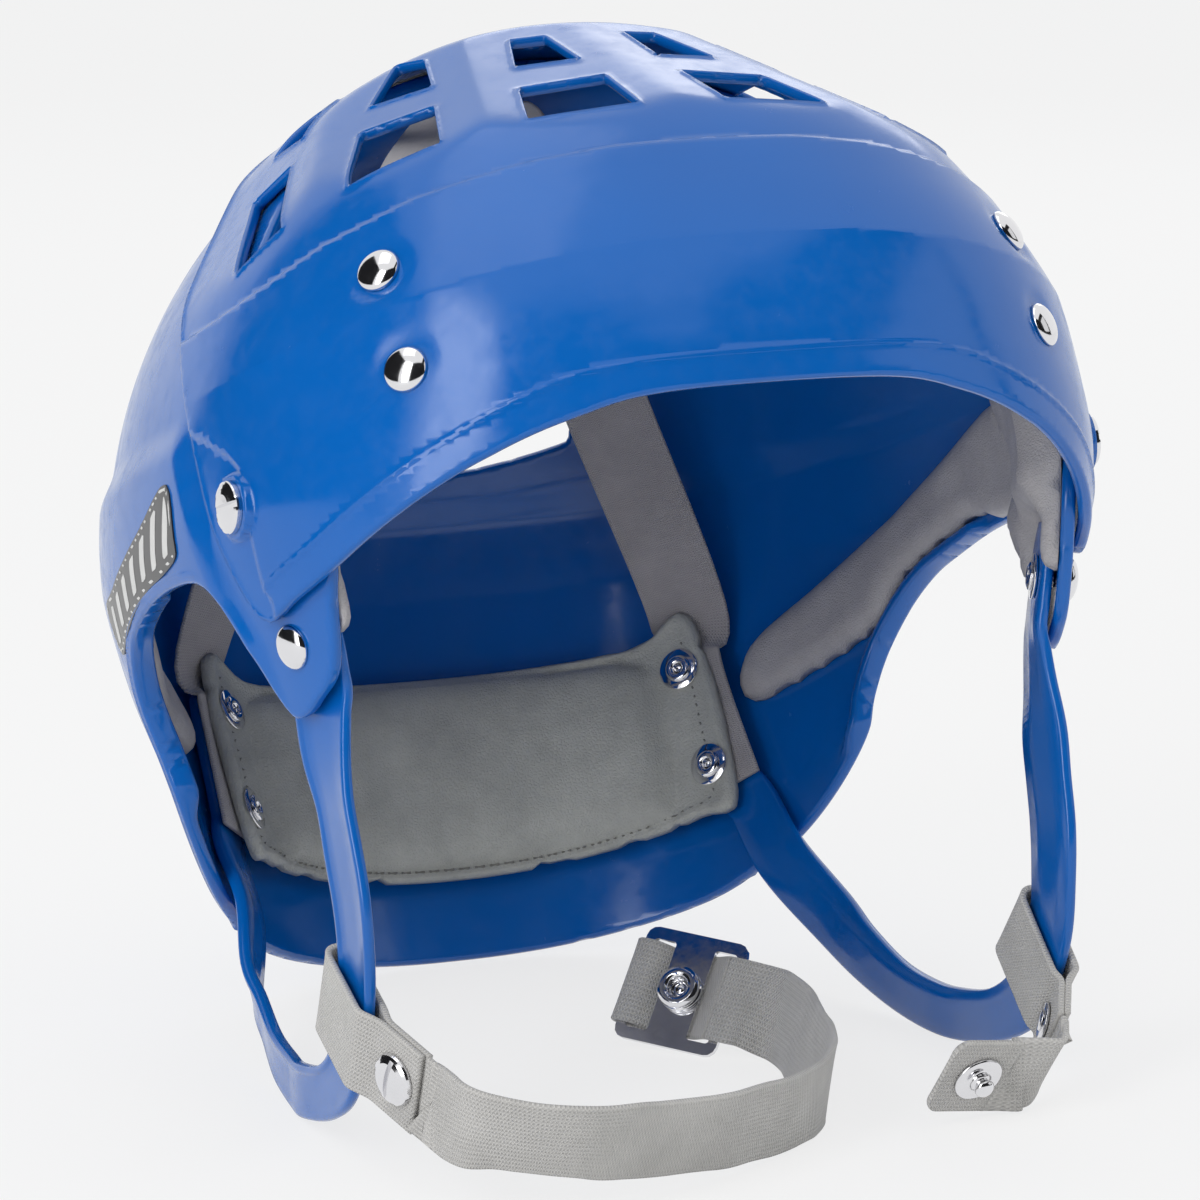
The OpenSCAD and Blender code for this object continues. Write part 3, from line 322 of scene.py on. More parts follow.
dark_card, _, _ = new_material("dark_card", 0.5, Base_Color=(0.02, 0.02, 0.022, 1), Specular_IOR_Level=0.0)
for word, start, end in (("left", -152, -76), ("front", -44, 18), ("right", 18, 84)):
    corners = [(CARD_AWAY * sin(radians(a)), -CARD_AWAY * cos(radians(a)), z)
               for a, z in ((start, CARD_FOOT), (end, CARD_FOOT), (end, CARD_TOP), (start, CARD_TOP))]
    card = stage_sheet(word + "_card", corners, dark_card)
    card.visible_camera = card.visible_diffuse = card.visible_shadow = card.visible_transmission = False
print("floor and cards laid")

# %% [markdown]
# The shells are one mathematical form. Seen from above it is a rounded square that draws in towards the
# jaw, and above the ear line it closes into a dome. Six flat facets cut the crown. The functions below give
# a point of that form for a turn u, 0 straight ahead, and a level z, with millimetres on the helmet as worn.

# %% The shells' form
HALF_WIDTH, FRONT_REACH, REAR_REACH, CROWN = 101.5, 114.5, 137.0, 108.0
PLAN_POWER, SIDE_TAPER, SIDE_CURL, LONG_TAPER = 2.46, 0.18, 0.1, 0.0008
WALL, LAP_GAP, LAP, BELT_FLARE = 3.0, 0.5, 28.0, -1.3
BELT_START, BELT_RISE, BELT_TOP, BELT_FADE, FOOT_TOP, FOOT_FADE = 5.5, 8, 26, 9, -22, 20
TILT, LIFT, SHIFT = radians(17.8912), 121.107, -5.67
FACETS = [(14.5, 62, 104.5), (53.5, 56.5, 105), (85.5, 40.5, 101.8)]
SEAM = np.array([(-52, -60), (-47, -26), (-42, -16), (-37, 1), (-33, 12), (-28, 22), (-18, 37), (-3, 55),
                 (15, 76), (32, 97), (50, 125)], float)


def settle(p):
    """From the helmet as worn, in millimetres, to the helmet as it stands, in metres."""
    p = np.asarray(p, float)
    x, y, z = p[..., 0], p[..., 1], p[..., 2]
    return np.stack([x, cos(TILT) * y + sin(TILT) * z + SHIFT, cos(TILT) * z - sin(TILT) * y + LIFT], -1) / 1000


def settle_way(v):
    return settle(v) - settle(np.zeros(3))


def unit(v):
    return np.asarray(v, float) / np.linalg.norm(v)


def travelled(line):
    """The length of a line up to each of its points."""
    return np.concatenate([[0], np.cumsum(np.linalg.norm(np.diff(line, axis=0), axis=1))])


def to_left(p):
    """Mirrors points of the wearer's right side to the left."""
    return np.abs(p) * [1, 0, 0] + p * [0, 1, 1]


def ease(t):
    c = np.clip(t, 0, 1)
    return c * c * (3 - 2 * c)


def reach(u, z, grow):
    """How far the form stands from its upright axis, u in degrees."""
    below = np.maximum(0, -z) / 100
    dome = np.where(z > 0, np.sqrt(np.maximum(0, 1 - (z / (CROWN + grow)) ** 2)), 1)
    side = (HALF_WIDTH + grow) * (1 - SIDE_TAPER * below ** 2 / (below + 0.06) - SIDE_CURL * below ** 2) * dome
    ahead = np.cos(np.radians(u))
    long_axis = (np.where(ahead < 0, REAR_REACH, FRONT_REACH) + grow) * (1 + LONG_TAPER * np.minimum(0, z)) * dome
    s = np.abs(np.sin(np.radians(u))) / np.maximum(side, 1e-6)
    c = np.abs(ahead) / np.maximum(long_axis, 1e-6)
    return (s ** PLAN_POWER + c ** PLAN_POWER) ** (-1 / PLAN_POWER)


def rear_growth(u, z):
    """The rear shell runs under the front one, and swells into a belt behind the seam."""
    inset = -(WALL + LAP_GAP)
    y = -HALF_WIDTH * np.cos(np.radians(u))
    behind = ease((y - np.interp(z, SEAM[:, 1], SEAM[:, 0]) - BELT_START) / BELT_RISE)
    belt = ease((BELT_TOP - z) / BELT_FADE)
    above_foot = 1 - ease((FOOT_TOP - z) / FOOT_FADE)
    return inset + (BELT_FLARE - inset) * behind * belt * (0.45 + 0.55 * above_foot)


def shell_point(u, z, rear, facets=False, soft=0.7):
    """Points of a shell's outer face. The facets are blended in over a small radius."""
    grow = rear_growth(u, z) if rear else 0.0
    r = reach(u, z, grow)
    if facets:
        for side in (-1, 1):
            for turn, slope, far in FACETS:
                a, b = radians(side * turn), radians(90 - slope)
                normal = (sin(a) * sin(b), -cos(a) * sin(b), cos(b))
                toward = normal[0] * np.sin(np.radians(u)) - normal[1] * np.cos(np.radians(u))
                flat = (far - (WALL + LAP_GAP if rear else 0) - normal[2] * z) / np.where(toward > 0.02, toward, 0.02)
                flat = np.where(toward > 0.02, flat, 1e4)
                gap = np.clip((flat - r) / soft, -30, 30)
                r = np.where(gap > 29, r, flat - soft * np.log1p(np.exp(gap)))
    return np.stack([r * np.sin(np.radians(u)), -r * np.cos(np.radians(u)), z + 0 * r], -1)


def outward(u, z, rear, facets=False, step=1.5):
    across = shell_point(u + step, z, rear, facets) - shell_point(u - step, z, rear, facets)
    up = shell_point(u, z + step, rear, facets) - shell_point(u, z - step, rear, facets)
    n = np.cross(across, up)
    return n / np.linalg.norm(n, axis=-1, keepdims=True)


def skin_point(at, rear):
    """The point of a shell's outer face at a place, given as turn and level."""
    return shell_point(np.float64(at[0]), np.float64(at[1]), rear)


def skin_normal(at, rear):
    return outward(np.float64(at[0]), np.float64(at[1]), rear)


def inside(at, depth, rear):
    """A point at a depth under a shell."""
    return skin_point(at, rear) - depth * skin_normal(at, rear)


print("shell width", round(2 * float(reach(np.float64(90), np.float64(0), 0)), 1), "mm")

# %% [markdown]
# A shell is cut from that form as a die cuts a sheet: a fine net of small faces is laid over it, and the
# net is cut along the lines where a distance is zero. The distance to an outline is easy to work out for
# every corner of the net. Corners close to the line are moved onto it and the other faces are split, which
# gives clean edges. More cuts beside the edge make room for rounding, and others carry the raised lines.

# %% Nets and cuts
MM_PER_DEGREE, EDGE_ROUND, FINE_SNAP, NET_MARGIN = 1.75, 0.95, 0.03, 2.5
TOP_TURN = pi / 2 - 0.02
SIDES = ((1, "left"), (-1, "right"))


def curve(points, steps, closed=False):
    """A smooth line through points."""
    p = [np.asarray(q, float) for q in points]
    n = len(p)
    out = []
    for i in range(n if closed else n - 1):
        if closed:
            a, b, c, d = p[i - 1], p[i], p[(i + 1) % n], p[(i + 2) % n]
        else:
            a, b, c, d = p[max(i - 1, 0)], p[i], p[i + 1], p[min(i + 2, n - 1)]
        for k in range(steps):
            t = k / steps
            out.append(0.5 * (2 * b + (c - a) * t + (2 * a - 5 * b + 4 * c - d) * t * t
                              + (3 * b - a - 3 * c + d) * t ** 3))
    if not closed:
        out.append(p[-1])
    return np.array(out)


def distance_to_line(q, line, closed=False):
    """Distance of flat points to a line of segments."""
    best = np.full(len(q), 1e9)
    ends = np.roll(line, -1, axis=0) if closed else line[1:]
    for a, b in zip(line, ends):
        ab = b - a
        t = np.clip(((q - a) @ ab) / max(ab @ ab, 1e-12), 0, 1)
        best = np.minimum(best, np.hypot(*(q - a - t[:, None] * ab).T))
    return best


def signed_distance(q, outline):
    """Distance to a closed outline, positive inside it."""
    odd = np.zeros(len(q), bool)
    for a, b in zip(outline, np.roll(outline, -1, axis=0)):
        if a[1] == b[1]:
            continue
        rises = (a[1] > q[:, 1]) != (b[1] > q[:, 1])
        odd ^= rises & (q[:, 0] < (b[0] - a[0]) * (q[:, 1] - a[1]) / (b[1] - a[1]) + a[0])
    far = distance_to_line(q, outline, True)
    return np.where(odd, far, -far)


def level_of(v):
    """Height z for a distance v along the side, which turns into an arc over the crown."""
    return np.where(v < 0, v, CROWN * np.sin(np.clip(v / CROWN, 0, TOP_TURN)))


def on_net(co, rear, facets):
    return shell_point(co[:, 0] / MM_PER_DEGREE, level_of(co[:, 1]), rear, facets)


def net_corners(net):
    return np.array([v.co[:] for v in net.verts])


def lay_net(rear, facets, keep, low=-88.0, step=1.35):
    """A net over the part of a shell where keep is above a margin."""
    columns = int(round(360 * MM_PER_DEGREE / step))
    us = (np.arange(columns + 1) / columns * 360 - 180) * MM_PER_DEGREE
    vs = np.arange(low, CROWN * TOP_TURN, step)
    co = np.array([(u, v, 0) for v in vs for u in us])
    value = keep(on_net(co, rear, facets)).reshape(len(vs), len(us))
    near = value > -NET_MARGIN
    wanted = near[:-1, :-1] | near[1:, :-1] | near[:-1, 1:] | near[1:, 1:]
    used, faces = {}, []
    for j, i in zip(*np.nonzero(wanted)):
        corners = [(j, i), (j, (i + 1) % columns), (j + 1, (i + 1) % columns), (j + 1, i)]
        faces.append([used.setdefault(c, len(used)) for c in corners])
    net = bmesh.new()
    made = [net.verts.new((us[i], vs[j], 0)) for j, i in used]
    for f in faces:
        net.faces.new([made[k] for k in f])
    return net


def seam_free(a, b):
    """The place of b next to a, where the net closes behind the head."""
    turn = 360 * MM_PER_DEGREE
    b = b.copy()
    if b.x - a.x > turn / 2:
        b.x -= turn
    if a.x - b.x > turn / 2:
        b.x += turn
    return b


def cut(net, field, level=0.0, drop=False, snap=0.32):
    """Cuts the net along field = level, and drops what lies below it if told to."""
    net.verts.index_update()
    verts = list(net.verts)
    value = field(net_corners(net)) - level
    value[np.abs(value) < 1e-6] = 0
    moved = {}
    for e in net.edges:
        a, b = e.verts
        va, vb = value[a.index], value[b.index]
        if va * vb >= 0:
            continue
        t = va / (va - vb)
        if t < snap or t > 1 - snap:
            first, second, share = (a, b, t) if t < snap else (b, a, 1 - t)
            if share < moved.get(first.index, (9, None))[0]:
                moved[first.index] = (share, first.co.lerp(seam_free(first.co, second.co), share))
    for k, (share, place) in moved.items():
        verts[k].co = place
        value[k] = 0
    held = {verts[k]: float(value[k]) for k in range(len(verts))}
    for e in [e for e in net.edges if held[e.verts[0]] * held[e.verts[1]] < 0]:
        a, b = e.verts
        t = held[a] / (held[a] - held[b])
        place = a.co.lerp(seam_free(a.co, b.co), t)
        _, new = bmesh.utils.edge_split(e, a, t)
        new.co = place
        held[new] = 0.0
    for f in list(net.faces):
        ring = list(f.verts)
        signs = [held[v] for v in ring]
        if max(signs) <= 0 or min(signs) >= 0:
            continue
        zero = [k for k, s in enumerate(signs) if s == 0]
        n = len(ring)
        for k in zero:
            found = [m for m in zero if 1 < (m - k) % n < n - 1
                     and all(signs[(k + j) % n] >= 0 for j in range(1, (m - k) % n))
                     and all(signs[(m + j) % n] <= 0 for j in range(1, (k - m) % n))]
            if found:
                bmesh.utils.face_split(f, ring[k], ring[found[0]])
                break
    if drop:
        lost = [f for f in net.faces if sum(held.get(v, 0.0) for v in f.verts) < 0]
        bmesh.ops.delete(net, geom=lost, context="FACES")


def add_piece(name, points, faces, material, body, smooth=True, uv=None):
    """Makes a mesh object from points in metres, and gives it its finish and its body."""
    mesh = bpy.data.meshes.new(name)
    mesh.from_pydata([tuple(p) for p in points], [], [tuple(f) for f in faces])
    if uv is not None:
        layer = mesh.uv_layers.new(name="weave")
        for loop, place in zip(mesh.loops, uv):
            layer.data[loop.index].uv = place
    tidy = bmesh.new()
    tidy.from_mesh(mesh)
    bmesh.ops.recalc_face_normals(tidy, faces=tidy.faces)
    tidy.to_mesh(mesh)
    tidy.free()
    mesh.polygons.foreach_set("use_smooth", [smooth] * len(mesh.polygons))
    mesh.materials.append(material)
    piece = bpy.data.objects.new(name, mesh)
    scene.collection.objects.link(piece)
    if body:
        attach(piece, body)
    return piece


def cut_out(net, field):
    """Cuts a shell out of its net, and makes room for its rounded edge."""
    cut(net, field, drop=True)
    for level in (0.3, EDGE_ROUND):
        cut(net, field, level, snap=0.2)


def solid_from_net(net, rear, facets, outer, inner):
    """Two faces over the net, at the offsets that outer and inner give, joined by a rim."""
    net.verts.index_update()
    co = net_corners(net)
    u, z = co[:, 0] / MM_PER_DEGREE, level_of(co[:, 1])
    base = shell_point(u, z, rear, facets)
    n = outward(u, z, rear, facets, step=0.8)
    points = np.concatenate([base + n * outer(base, co)[:, None], base + n * inner(base, co)[:, None]])
    m = len(co)
    faces = [[v.index for v in f.verts] for f in net.faces]
    faces += [[m + v.index for v in reversed(f.verts)] for f in net.faces]
    for e in net.edges:
        if len(e.link_faces) == 1:
            a, b = e.verts[0].index, e.verts[1].index
            faces.append([a, b, m + b, m + a])
    return points, faces


def rounding(d, r=EDGE_ROUND):
    """How much a face gives way near an edge, a distance d from it."""
    k = np.clip(r - d, 0, r)
    return r - np.sqrt(r * r - k * k)


print("net tools ready")

# %% [markdown]
# The front shell comes first. Its outline is drawn in side view, and the vents are drawn flat on the six
# facets. The smaller of all these distances says how far a corner is from the nearest edge. The brow keeps
# a soft crease, a step under the facets, a fine line above the brim and a lowered corner round each screw.

# %% Front shell
FRONT_SIDE = [(-150, 10), (-128, 10), (-114, 10), (-108, 6), (-98, -1), (-85, -8.5), (-70, -16), (-57, -20.5),
              (-52, -22.3), (-47.5, -22.3), (-43, -16.5), (-37, 1), (-33, 12), (-28, 22), (-18, 37),
              (-3, 55), (15, 76), (32, 97), (50, 125)]
FRONT_OUTLINE = np.concatenate([curve(FRONT_SIDE, 6), [(50, 160), (-150, 160)]])
BRIM_EDGE, BRIM_BACK, FACET_NEAR = FRONT_OUTLINE[:56], -50, 12
VENTS = [
    [[(11.5, -18.5), (-7, -15), (-11, -36.5), (12.5, -40)], [(8.5, 17.5), (1, 18), (-3.5, -1), (10, -2.5)]],
    [[(1.5, -13.5), (-15, -9), (-27, -30), (-8, -39.5)], [(10, 21.5), (2, 20), (-8.5, 3), (6, 0.5)]],
    [[(-3, 8.5), (-15, 15), (-39.5, -8), (-27, -17)], [(8.5, 40), (-3.5, 39), (-8, 25), (6, 23.5)]]]
STEP_LINE = np.array([(0, 64), (20, 63.5), (40, 61.5), (60, 57.5), (76, 51.5), (92, 42), (110, 32)], float)
CREASE = np.array([(0, 41), (25, 40.5), (50, 38), (70, 34.5), (82, 31), (95, 27)], float)
CORNER = curve([(-20, 33), (-28, 22), (-37, 18), (-47, 13), (-51, 9.5), (-53, 5), (-53, 0), (-52, -10),
                (-51.5, -14), (-52.5, -18), (-57, -15.8), (-70, -10.5)], 5)
CORNER_AREA = np.concatenate([CORNER[:-8], [(-51.5, -24), (-40, -24), (-20, 20), (0, 45)]])
BRIM_LINE_AT, BRIM_LINE_HALF, BRIM_LINE_RISE = 6.4, 0.8, 0.4
STEP_DEPTH, STEP_WIDE, CREASE_RISE, CREASE_WIDE, CORNER_DEPTH, CORNER_WIDE = 0.9, 1.3, 1.3, 18, 0.7, 1.1
SCREW_AT, SCREW_TURN, SCREW_SEAT = (63.3, 1.7), 84.0, 0.5
BOSS_R, BOSS_EDGE, BOSS_BLEND, BOSS_REACH, RIVET_FLAT, RIVET_BLEND = 6.6, 7.3, 0.7, 9, 5.0, 8.5
BROW_UPPER, BROW_LOWER = (41.3, 43), (38.1, 21)
RIVET_HEAD = 9.6


def facet_plane(side, k, p):
    """Flat places on a facet, and the height above it."""
    turn, slope, far = FACETS[k]
    a, b = radians(side * turn), radians(90 - slope)
    x = p[:, 0] * cos(a) + p[:, 1] * sin(a)
    y = -p[:, 0] * sin(a) + p[:, 1] * cos(a)
    return np.stack([side * x, y * cos(b) + p[:, 2] * sin(b)], -1), -y * sin(b) + p[:, 2] * cos(b) - far


def front_distance(p):
    best = signed_distance(p[:, 1:], FRONT_OUTLINE)
    for side in (-1, 1):
        for k in range(3):
            q, h = facet_plane(side, k, p)
            for vent in VENTS[k]:
                far = -signed_distance(q, np.array(vent, float))
                best = np.minimum(best, np.where(np.abs(h) < FACET_NEAR, far, 99))
    return best


def brim_distance(p):
    """Distance above the lower edge, counted only along the brim and not up the seam."""
    return np.where(p[:, 1] < BRIM_BACK, distance_to_line(p[:, 1:], BRIM_EDGE), 30.0)


def over_line(p, line):
    return p[:, 2] - np.interp(np.abs(p[:, 0]), line[:, 0], line[:, 1])


def corner_distance(p):
    return np.where(p[:, 1] > -80, signed_distance(p[:, 1:], CORNER_AREA), -30.0)


screw_axis = np.array([sin(radians(SCREW_TURN)), -cos(radians(SCREW_TURN)), 0])
screw_place = skin_point(SCREW_AT, False)


def screw_radius(p):
    q = to_left(p) - screw_place
    along = q @ screw_axis
    return np.linalg.norm(q - along[:, None] * screw_axis, axis=1), along


def fade(value, start, end):
    return ease((value - start) / (end - start))


def front_relief(p):
    """Heights of the moulded lines on the front shell."""
    h = -STEP_DEPTH * np.clip(over_line(p, STEP_LINE) / STEP_WIDE, 0, 1)
    h += CREASE_RISE * np.clip(1 - np.abs(over_line(p, CREASE)) / CREASE_WIDE, 0, 1) ** 1.5 * fade(-p[:, 1], 20, 60)
    h += BRIM_LINE_RISE * np.clip(1 - np.abs(brim_distance(p) - BRIM_LINE_AT) / BRIM_LINE_HALF, 0, 1)
    h -= CORNER_DEPTH * np.clip(corner_distance(p) / CORNER_WIDE, 0, 1)
    for at in (BROW_UPPER, BROW_LOWER):
        h = h * fade(np.linalg.norm(to_left(p) - skin_point(at, False), axis=1), RIVET_FLAT, RIVET_BLEND)
    radius, along = screw_radius(p)
    boss = SCREW_SEAT - along
    blend = boss * (BOSS_EDGE - radius) / BOSS_BLEND + h * (radius - BOSS_R) / BOSS_BLEND
    near = (radius < BOSS_EDGE) & (np.abs(along) < BOSS_REACH)
    return np.where(near, np.where(radius < BOSS_R, boss, blend), h)


def front_field(co):
    return front_distance(on_net(co, False, True))


front_net = lay_net(False, True, front_distance, low=-26.0)
cut_out(front_net, front_field)
for field, levels in ((lambda p: over_line(p, STEP_LINE), (0.0, STEP_WIDE)), (lambda p: over_line(p, CREASE), (0.0,)),
                      (brim_distance, (BRIM_LINE_AT, BRIM_LINE_AT - BRIM_LINE_HALF, BRIM_LINE_AT + BRIM_LINE_HALF)),
                      (corner_distance, (0.0, CORNER_WIDE)), (lambda p: screw_radius(p)[0], (BOSS_R, BOSS_EDGE))):
    for level in levels:
        cut(front_net, lambda co, field=field: field(on_net(co, False, True)), level, snap=FINE_SNAP)


def front_outer(base, co):
    d = front_field(co)
    return front_relief(base) * fade(d, 0.0, 1.2) - rounding(d)


def front_inner(base, co):
    return -(WALL - rounding(front_field(co)))


points, faces = solid_from_net(front_net, False, True, front_outer, front_inner)
front_piece = add_piece("front_shell_skin", settle(points), faces, BLUE, "front")
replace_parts(front_piece, "front_shell")
print("front shell", len(faces), "faces")

# %% [markdown]
# The rear shell is one wall thickness and a small gap deeper where it runs under the front one. Behind the
# seam it swells into a belt. The back of each ear window is turned in, which stiffens the thin rim, and a
# bead runs beside the window. The slot at the back is cut in back view.

# %% Rear shell
LUG_EDGE = [(-67, -12), (-64, -21), (-58.5, -34.5), (-50, -40), (-45, -42)]
EAR_ARCH = [(-40.5, -42), (-37.5, -37), (-35, -28), (-31.5, -20), (-27, -13.5), (-20, -10), (-6, -9), (10, -9.8),
            (26, -12.5), (37, -15.5), (47, -21.5), (54, -30), (57, -40), (58, -48), (66, -59), (77, -69), (88, -75)]
RIM_AT, RIM_FALL = (100, -80.5), 0.25
REAR_LINE = curve([tuple(q - (LAP, 0)) for q in SEAM[:2:-1]] + LUG_EDGE + EAR_ARCH
                  + [RIM_AT, (RIM_AT[0] + 25, RIM_AT[1] - 25 * RIM_FALL), (150, RIM_AT[1] - 50 * RIM_FALL)], 5)
REAR_OUTLINE = np.concatenate([REAR_LINE, [(150, 160)]])
ARCH_LINE = curve(EAR_ARCH, 5)
SLOT_W, SLOT_H, SLOT_Z, SLOT_RISE = 84.0, 9.0, 29.5, 5.0
FLANGE_T, FLANGE_DEPTH, FLANGE_FOOT = 2.4, 5.5, -50.0
BEAD_AT, BEAD_HALF, BEAD_RISE = 2.3, 0.9, 0.45
SIZE_SLOPE, SIZE_TRAVEL, SCREW_SHANK, TRACK_SPARE, TRACK_ROOM = 14.0, 8.0, 5.0, 1.6, 0.6
size_way = np.array([-cos(radians(SIZE_SLOPE)), sin(radians(SIZE_SLOPE))])
slot_ends = np.linspace(-1, 1, 13)
SLOT = np.concatenate([np.stack([slot_ends * SLOT_W / 2, SLOT_Z + SLOT_RISE * slot_ends ** 2], -1),
                       np.stack([-slot_ends * SLOT_W / 2, SLOT_Z + SLOT_H + SLOT_RISE * slot_ends ** 2], -1)])


def rear_distance(p):
    best = signed_distance(p[:, 1:], REAR_OUTLINE)
    back = np.where(p[:, 1] > 0, -signed_distance(p[:, ::2], SLOT), 99)
    start = np.array([screw_place[1] + SCREW_SEAT, SCREW_AT[1]])
    track = distance_to_line(p[:, 1:], np.array([start - size_way * TRACK_SPARE,
                                                 start + size_way * (SIZE_TRAVEL + TRACK_SPARE)]))
    return np.minimum(np.minimum(best, back), track - SCREW_SHANK / 2 - TRACK_ROOM)


def window_distance(p):
    return distance_to_line(p[:, 1:], ARCH_LINE)


def rear_field(co):
    return rear_distance(on_net(co, True, True))


rear_net = lay_net(True, True, rear_distance)
cut_out(rear_net, rear_field)
for level in (BEAD_AT - BEAD_HALF, BEAD_AT, BEAD_AT + BEAD_HALF):
    cut(rear_net, lambda co: window_distance(on_net(co, True, True)), level, snap=FINE_SNAP)


def rear_outer(base, co):
    d = window_distance(base)
    bead = BEAD_RISE * np.clip(1 - np.abs(d - BEAD_AT) / BEAD_HALF, 0, 1) * fade(base[:, 1], -26, -14)
    return bead - rounding(rear_field(co))


def rear_inner(base, co):
    d = window_distance(base)
    turned = (1 - fade(d, FLANGE_T - 0.3, FLANGE_T + 1.2)) * fade(base[:, 1], 6, 12) \
        * fade(base[:, 2], FLANGE_FOOT - 4, FLANGE_FOOT + 3)
    return -(WALL + (FLANGE_DEPTH - WALL) * turned - rounding(rear_field(co)))


points, faces = solid_from_net(rear_net, True, True, rear_outer, rear_inner)
rear_piece = add_piece("rear_shell_skin", settle(points), faces, BLUE, "rear")
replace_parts(rear_piece, "rear_shell")
print("rear shell", len(faces), "faces")

# %% [markdown]
# Bands are swept: a small closed outline is carried along a line and joined to itself, ring by ring. The ear
# loops are moulded bands with a rib on one edge. The straps are thin woven bands, and they get a map in
# metres along and across, which the weave of the material reads.

# %% Sweeps
TAB_G = WALL + 1
LOOP_T, LOOP_W, LOOP_LOW_W = 2.8, 19.0, 12.0
LUG_AT, NECK_UPPER, NECK_LOWER = (60.7, -28), (149.3, -28), (145.8, -51.5)


def sweep(path, across, widths, thick, outline):
    """Points, faces and map of a band. outline gives (share of the width, share of the thickness)."""
    path = np.asarray(path, float)
    n = len(path)
    ways = np.array([path[min(i + 1, n - 1)] - path[max(i - 1, 0)] for i in range(n)])
    ways /= np.linalg.norm(ways, axis=1, keepdims=True)
    along = travelled(path)
    points, places, k = [], [], len(outline(widths[0]))
    for i in range(n):
        a = unit(across[i] - (across[i] @ ways[i]) * ways[i])
        b = np.cross(ways[i], a)
        for s, h in outline(widths[i]):
            points.append(path[i] + a * s + b * h * thick)
            places.append((along[i] / 1000, s / 1000))
    faces, uv = [], []
    for i in range(n - 1):
        for j in range(k):
            f = [i * k + j, i * k + (j + 1) % k, (i + 1) * k + (j + 1) % k, (i + 1) * k + j]
            faces.append(f)
            uv += [places[c] for c in f]
    for f in (list(range(k))[::-1], [(n - 1) * k + j for j in range(k)]):
        faces.append(f)
        uv += [places[c] for c in f]
    return np.array(points), faces, uv


def flat_outline(width, round_at=0.5, rows=8):
    """A flat band with rounded edges."""
    side = [(cos(t) * round_at, sin(t) * 0.5) for t in np.linspace(-pi / 2, pi / 2, 5)]
    half = width / 2 - round_at
    right = [(half + s, h) for s, h in side]
    top = [(half * (1 - 2 * t), 0.5) for t in np.linspace(0, 1, rows + 1)[1:-1]]
    left = [(-half - s, -h) for s, h in side]
    return right + top + left + [(-s, -h) for s, h in top]


def mirrored(p, side):
    return np.asarray(p, float) * [side, 1, 1]


LEG_DROPS = [(-1.4, 3.7, -14.8), (-1.4, 4.7, -23), (-1.9, 4.7, -33), (-2.4, 4.7, -43), (-2.9, 4.7, -53),
             (-3.3, 6.7, -63), (-3.5, 10.7, -73), (-3.8, 19.2, -82.5), (-4.1, 28.5, -88.3), (-4.7, 42.7, -90.7),
             (-5.4, 60.4, -89.2), (-6.9, 72.1, -86.1), (-8.4, 85.6, -80.3), (-10.4, 97.9, -71.9),
             (-11.9, 108.6, -63)]
NECK_TAB_G = TAB_G + 0.4
NECK_IN = NECK_TAB_G + LOOP_T
lug_normal = skin_normal(LUG_AT, True)
lug_point = inside(LUG_AT, TAB_G + LOOP_T / 2, True)
leg_way = unit(LEG_DROPS[0] - (np.array(LEG_DROPS[0]) @ lug_normal) * lug_normal)
neck_middle = ((NECK_UPPER[0] + NECK_LOWER[0]) / 2, (NECK_UPPER[1] + NECK_LOWER[1]) / 2)
neck_normal = skin_normal(neck_middle, True)
neck_low = inside(NECK_LOWER, NECK_TAB_G + LOOP_T / 2, True)
neck_high = inside(NECK_UPPER, NECK_TAB_G + LOOP_T / 2, True)
neck_way = unit(neck_high - neck_low)
loop_points = [lug_point + d * leg_way for d in (-11.5, -6, 0, 5.5, 10)]
loop_points += [lug_point + np.array(d) for d in LEG_DROPS]
loop_points += [inside(at, TAB_G + gap + LOOP_T / 2, True) for at, gap in (((137.5, -75), 0.8), ((142.3, -60), 0.5))]
loop_points += [neck_low, neck_high, neck_high + 6 * neck_way]
lean = [-0.25, -0.15] + [0] * 8 + [0.05, 0.12, 0.22, 0.35, 0.5, 0.8]
loop_normals = [lug_normal] * 5 + [(1, y, 0) for y in lean] + [neck_normal] * 4
loop_widths = [LOOP_W - w for w in [10, 2] + [0] * 8 + [1, 2, 3.5, 5]]
loop_widths += [LOOP_LOW_W + w for w in [0] * 4 + [1, 2, 2, 1, 0, 0, -4]]
STEPS = 7
loop_path, loop_turns = curve(loop_points, STEPS), curve(loop_normals, STEPS)
loop_spans = curve([(w,) for w in loop_widths], STEPS)[:, 0]
loop_ways = np.gradient(loop_path, axis=0)
loop_across = np.cross(loop_turns, loop_ways)


def loop_outline(width):
    """A moulded band, a little thinner in its middle, with a rib along its outer edge."""
    h = width / 2
    outer = [(h - 0.5, -0.5), (h - 0.12, -0.36), (h, 0.0), (h - 0.12, 0.36), (h - 0.5, 0.5)]
    top = [(h - 1.5, 0.5), (h - 1.9, 0.36), (h - 2.4, 0.3), (h * 0.3, 0.3), (-h * 0.3, 0.3), (-h + 2.0, 0.34)]
    inner = [(-h + 0.9, 0.42), (-h + 0.3, 0.32), (-h, 0.0), (-h + 0.3, -0.32), (-h + 0.9, -0.45)]
    return outer + top + inner + [(-h * 0.3, -0.5), (h * 0.3, -0.5)]


for side, word in SIDES:
    points, faces, _ = sweep(loop_path, loop_across, loop_spans, LOOP_T, loop_outline)
    loop = add_piece(word + "_ear_band", settle(mirrored(points, side)), faces, BLUE, "rear")
    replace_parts(loop, word + "_ear_loop")
print("ear loops", len(faces), "faces each")

# %% [markdown]
# The crown straps cross under the dome. Each starts under the neck rivets, rises over the crown on its line
# of points and ends under a brow rivet on the other side. They follow the solids, so their lines are the same.

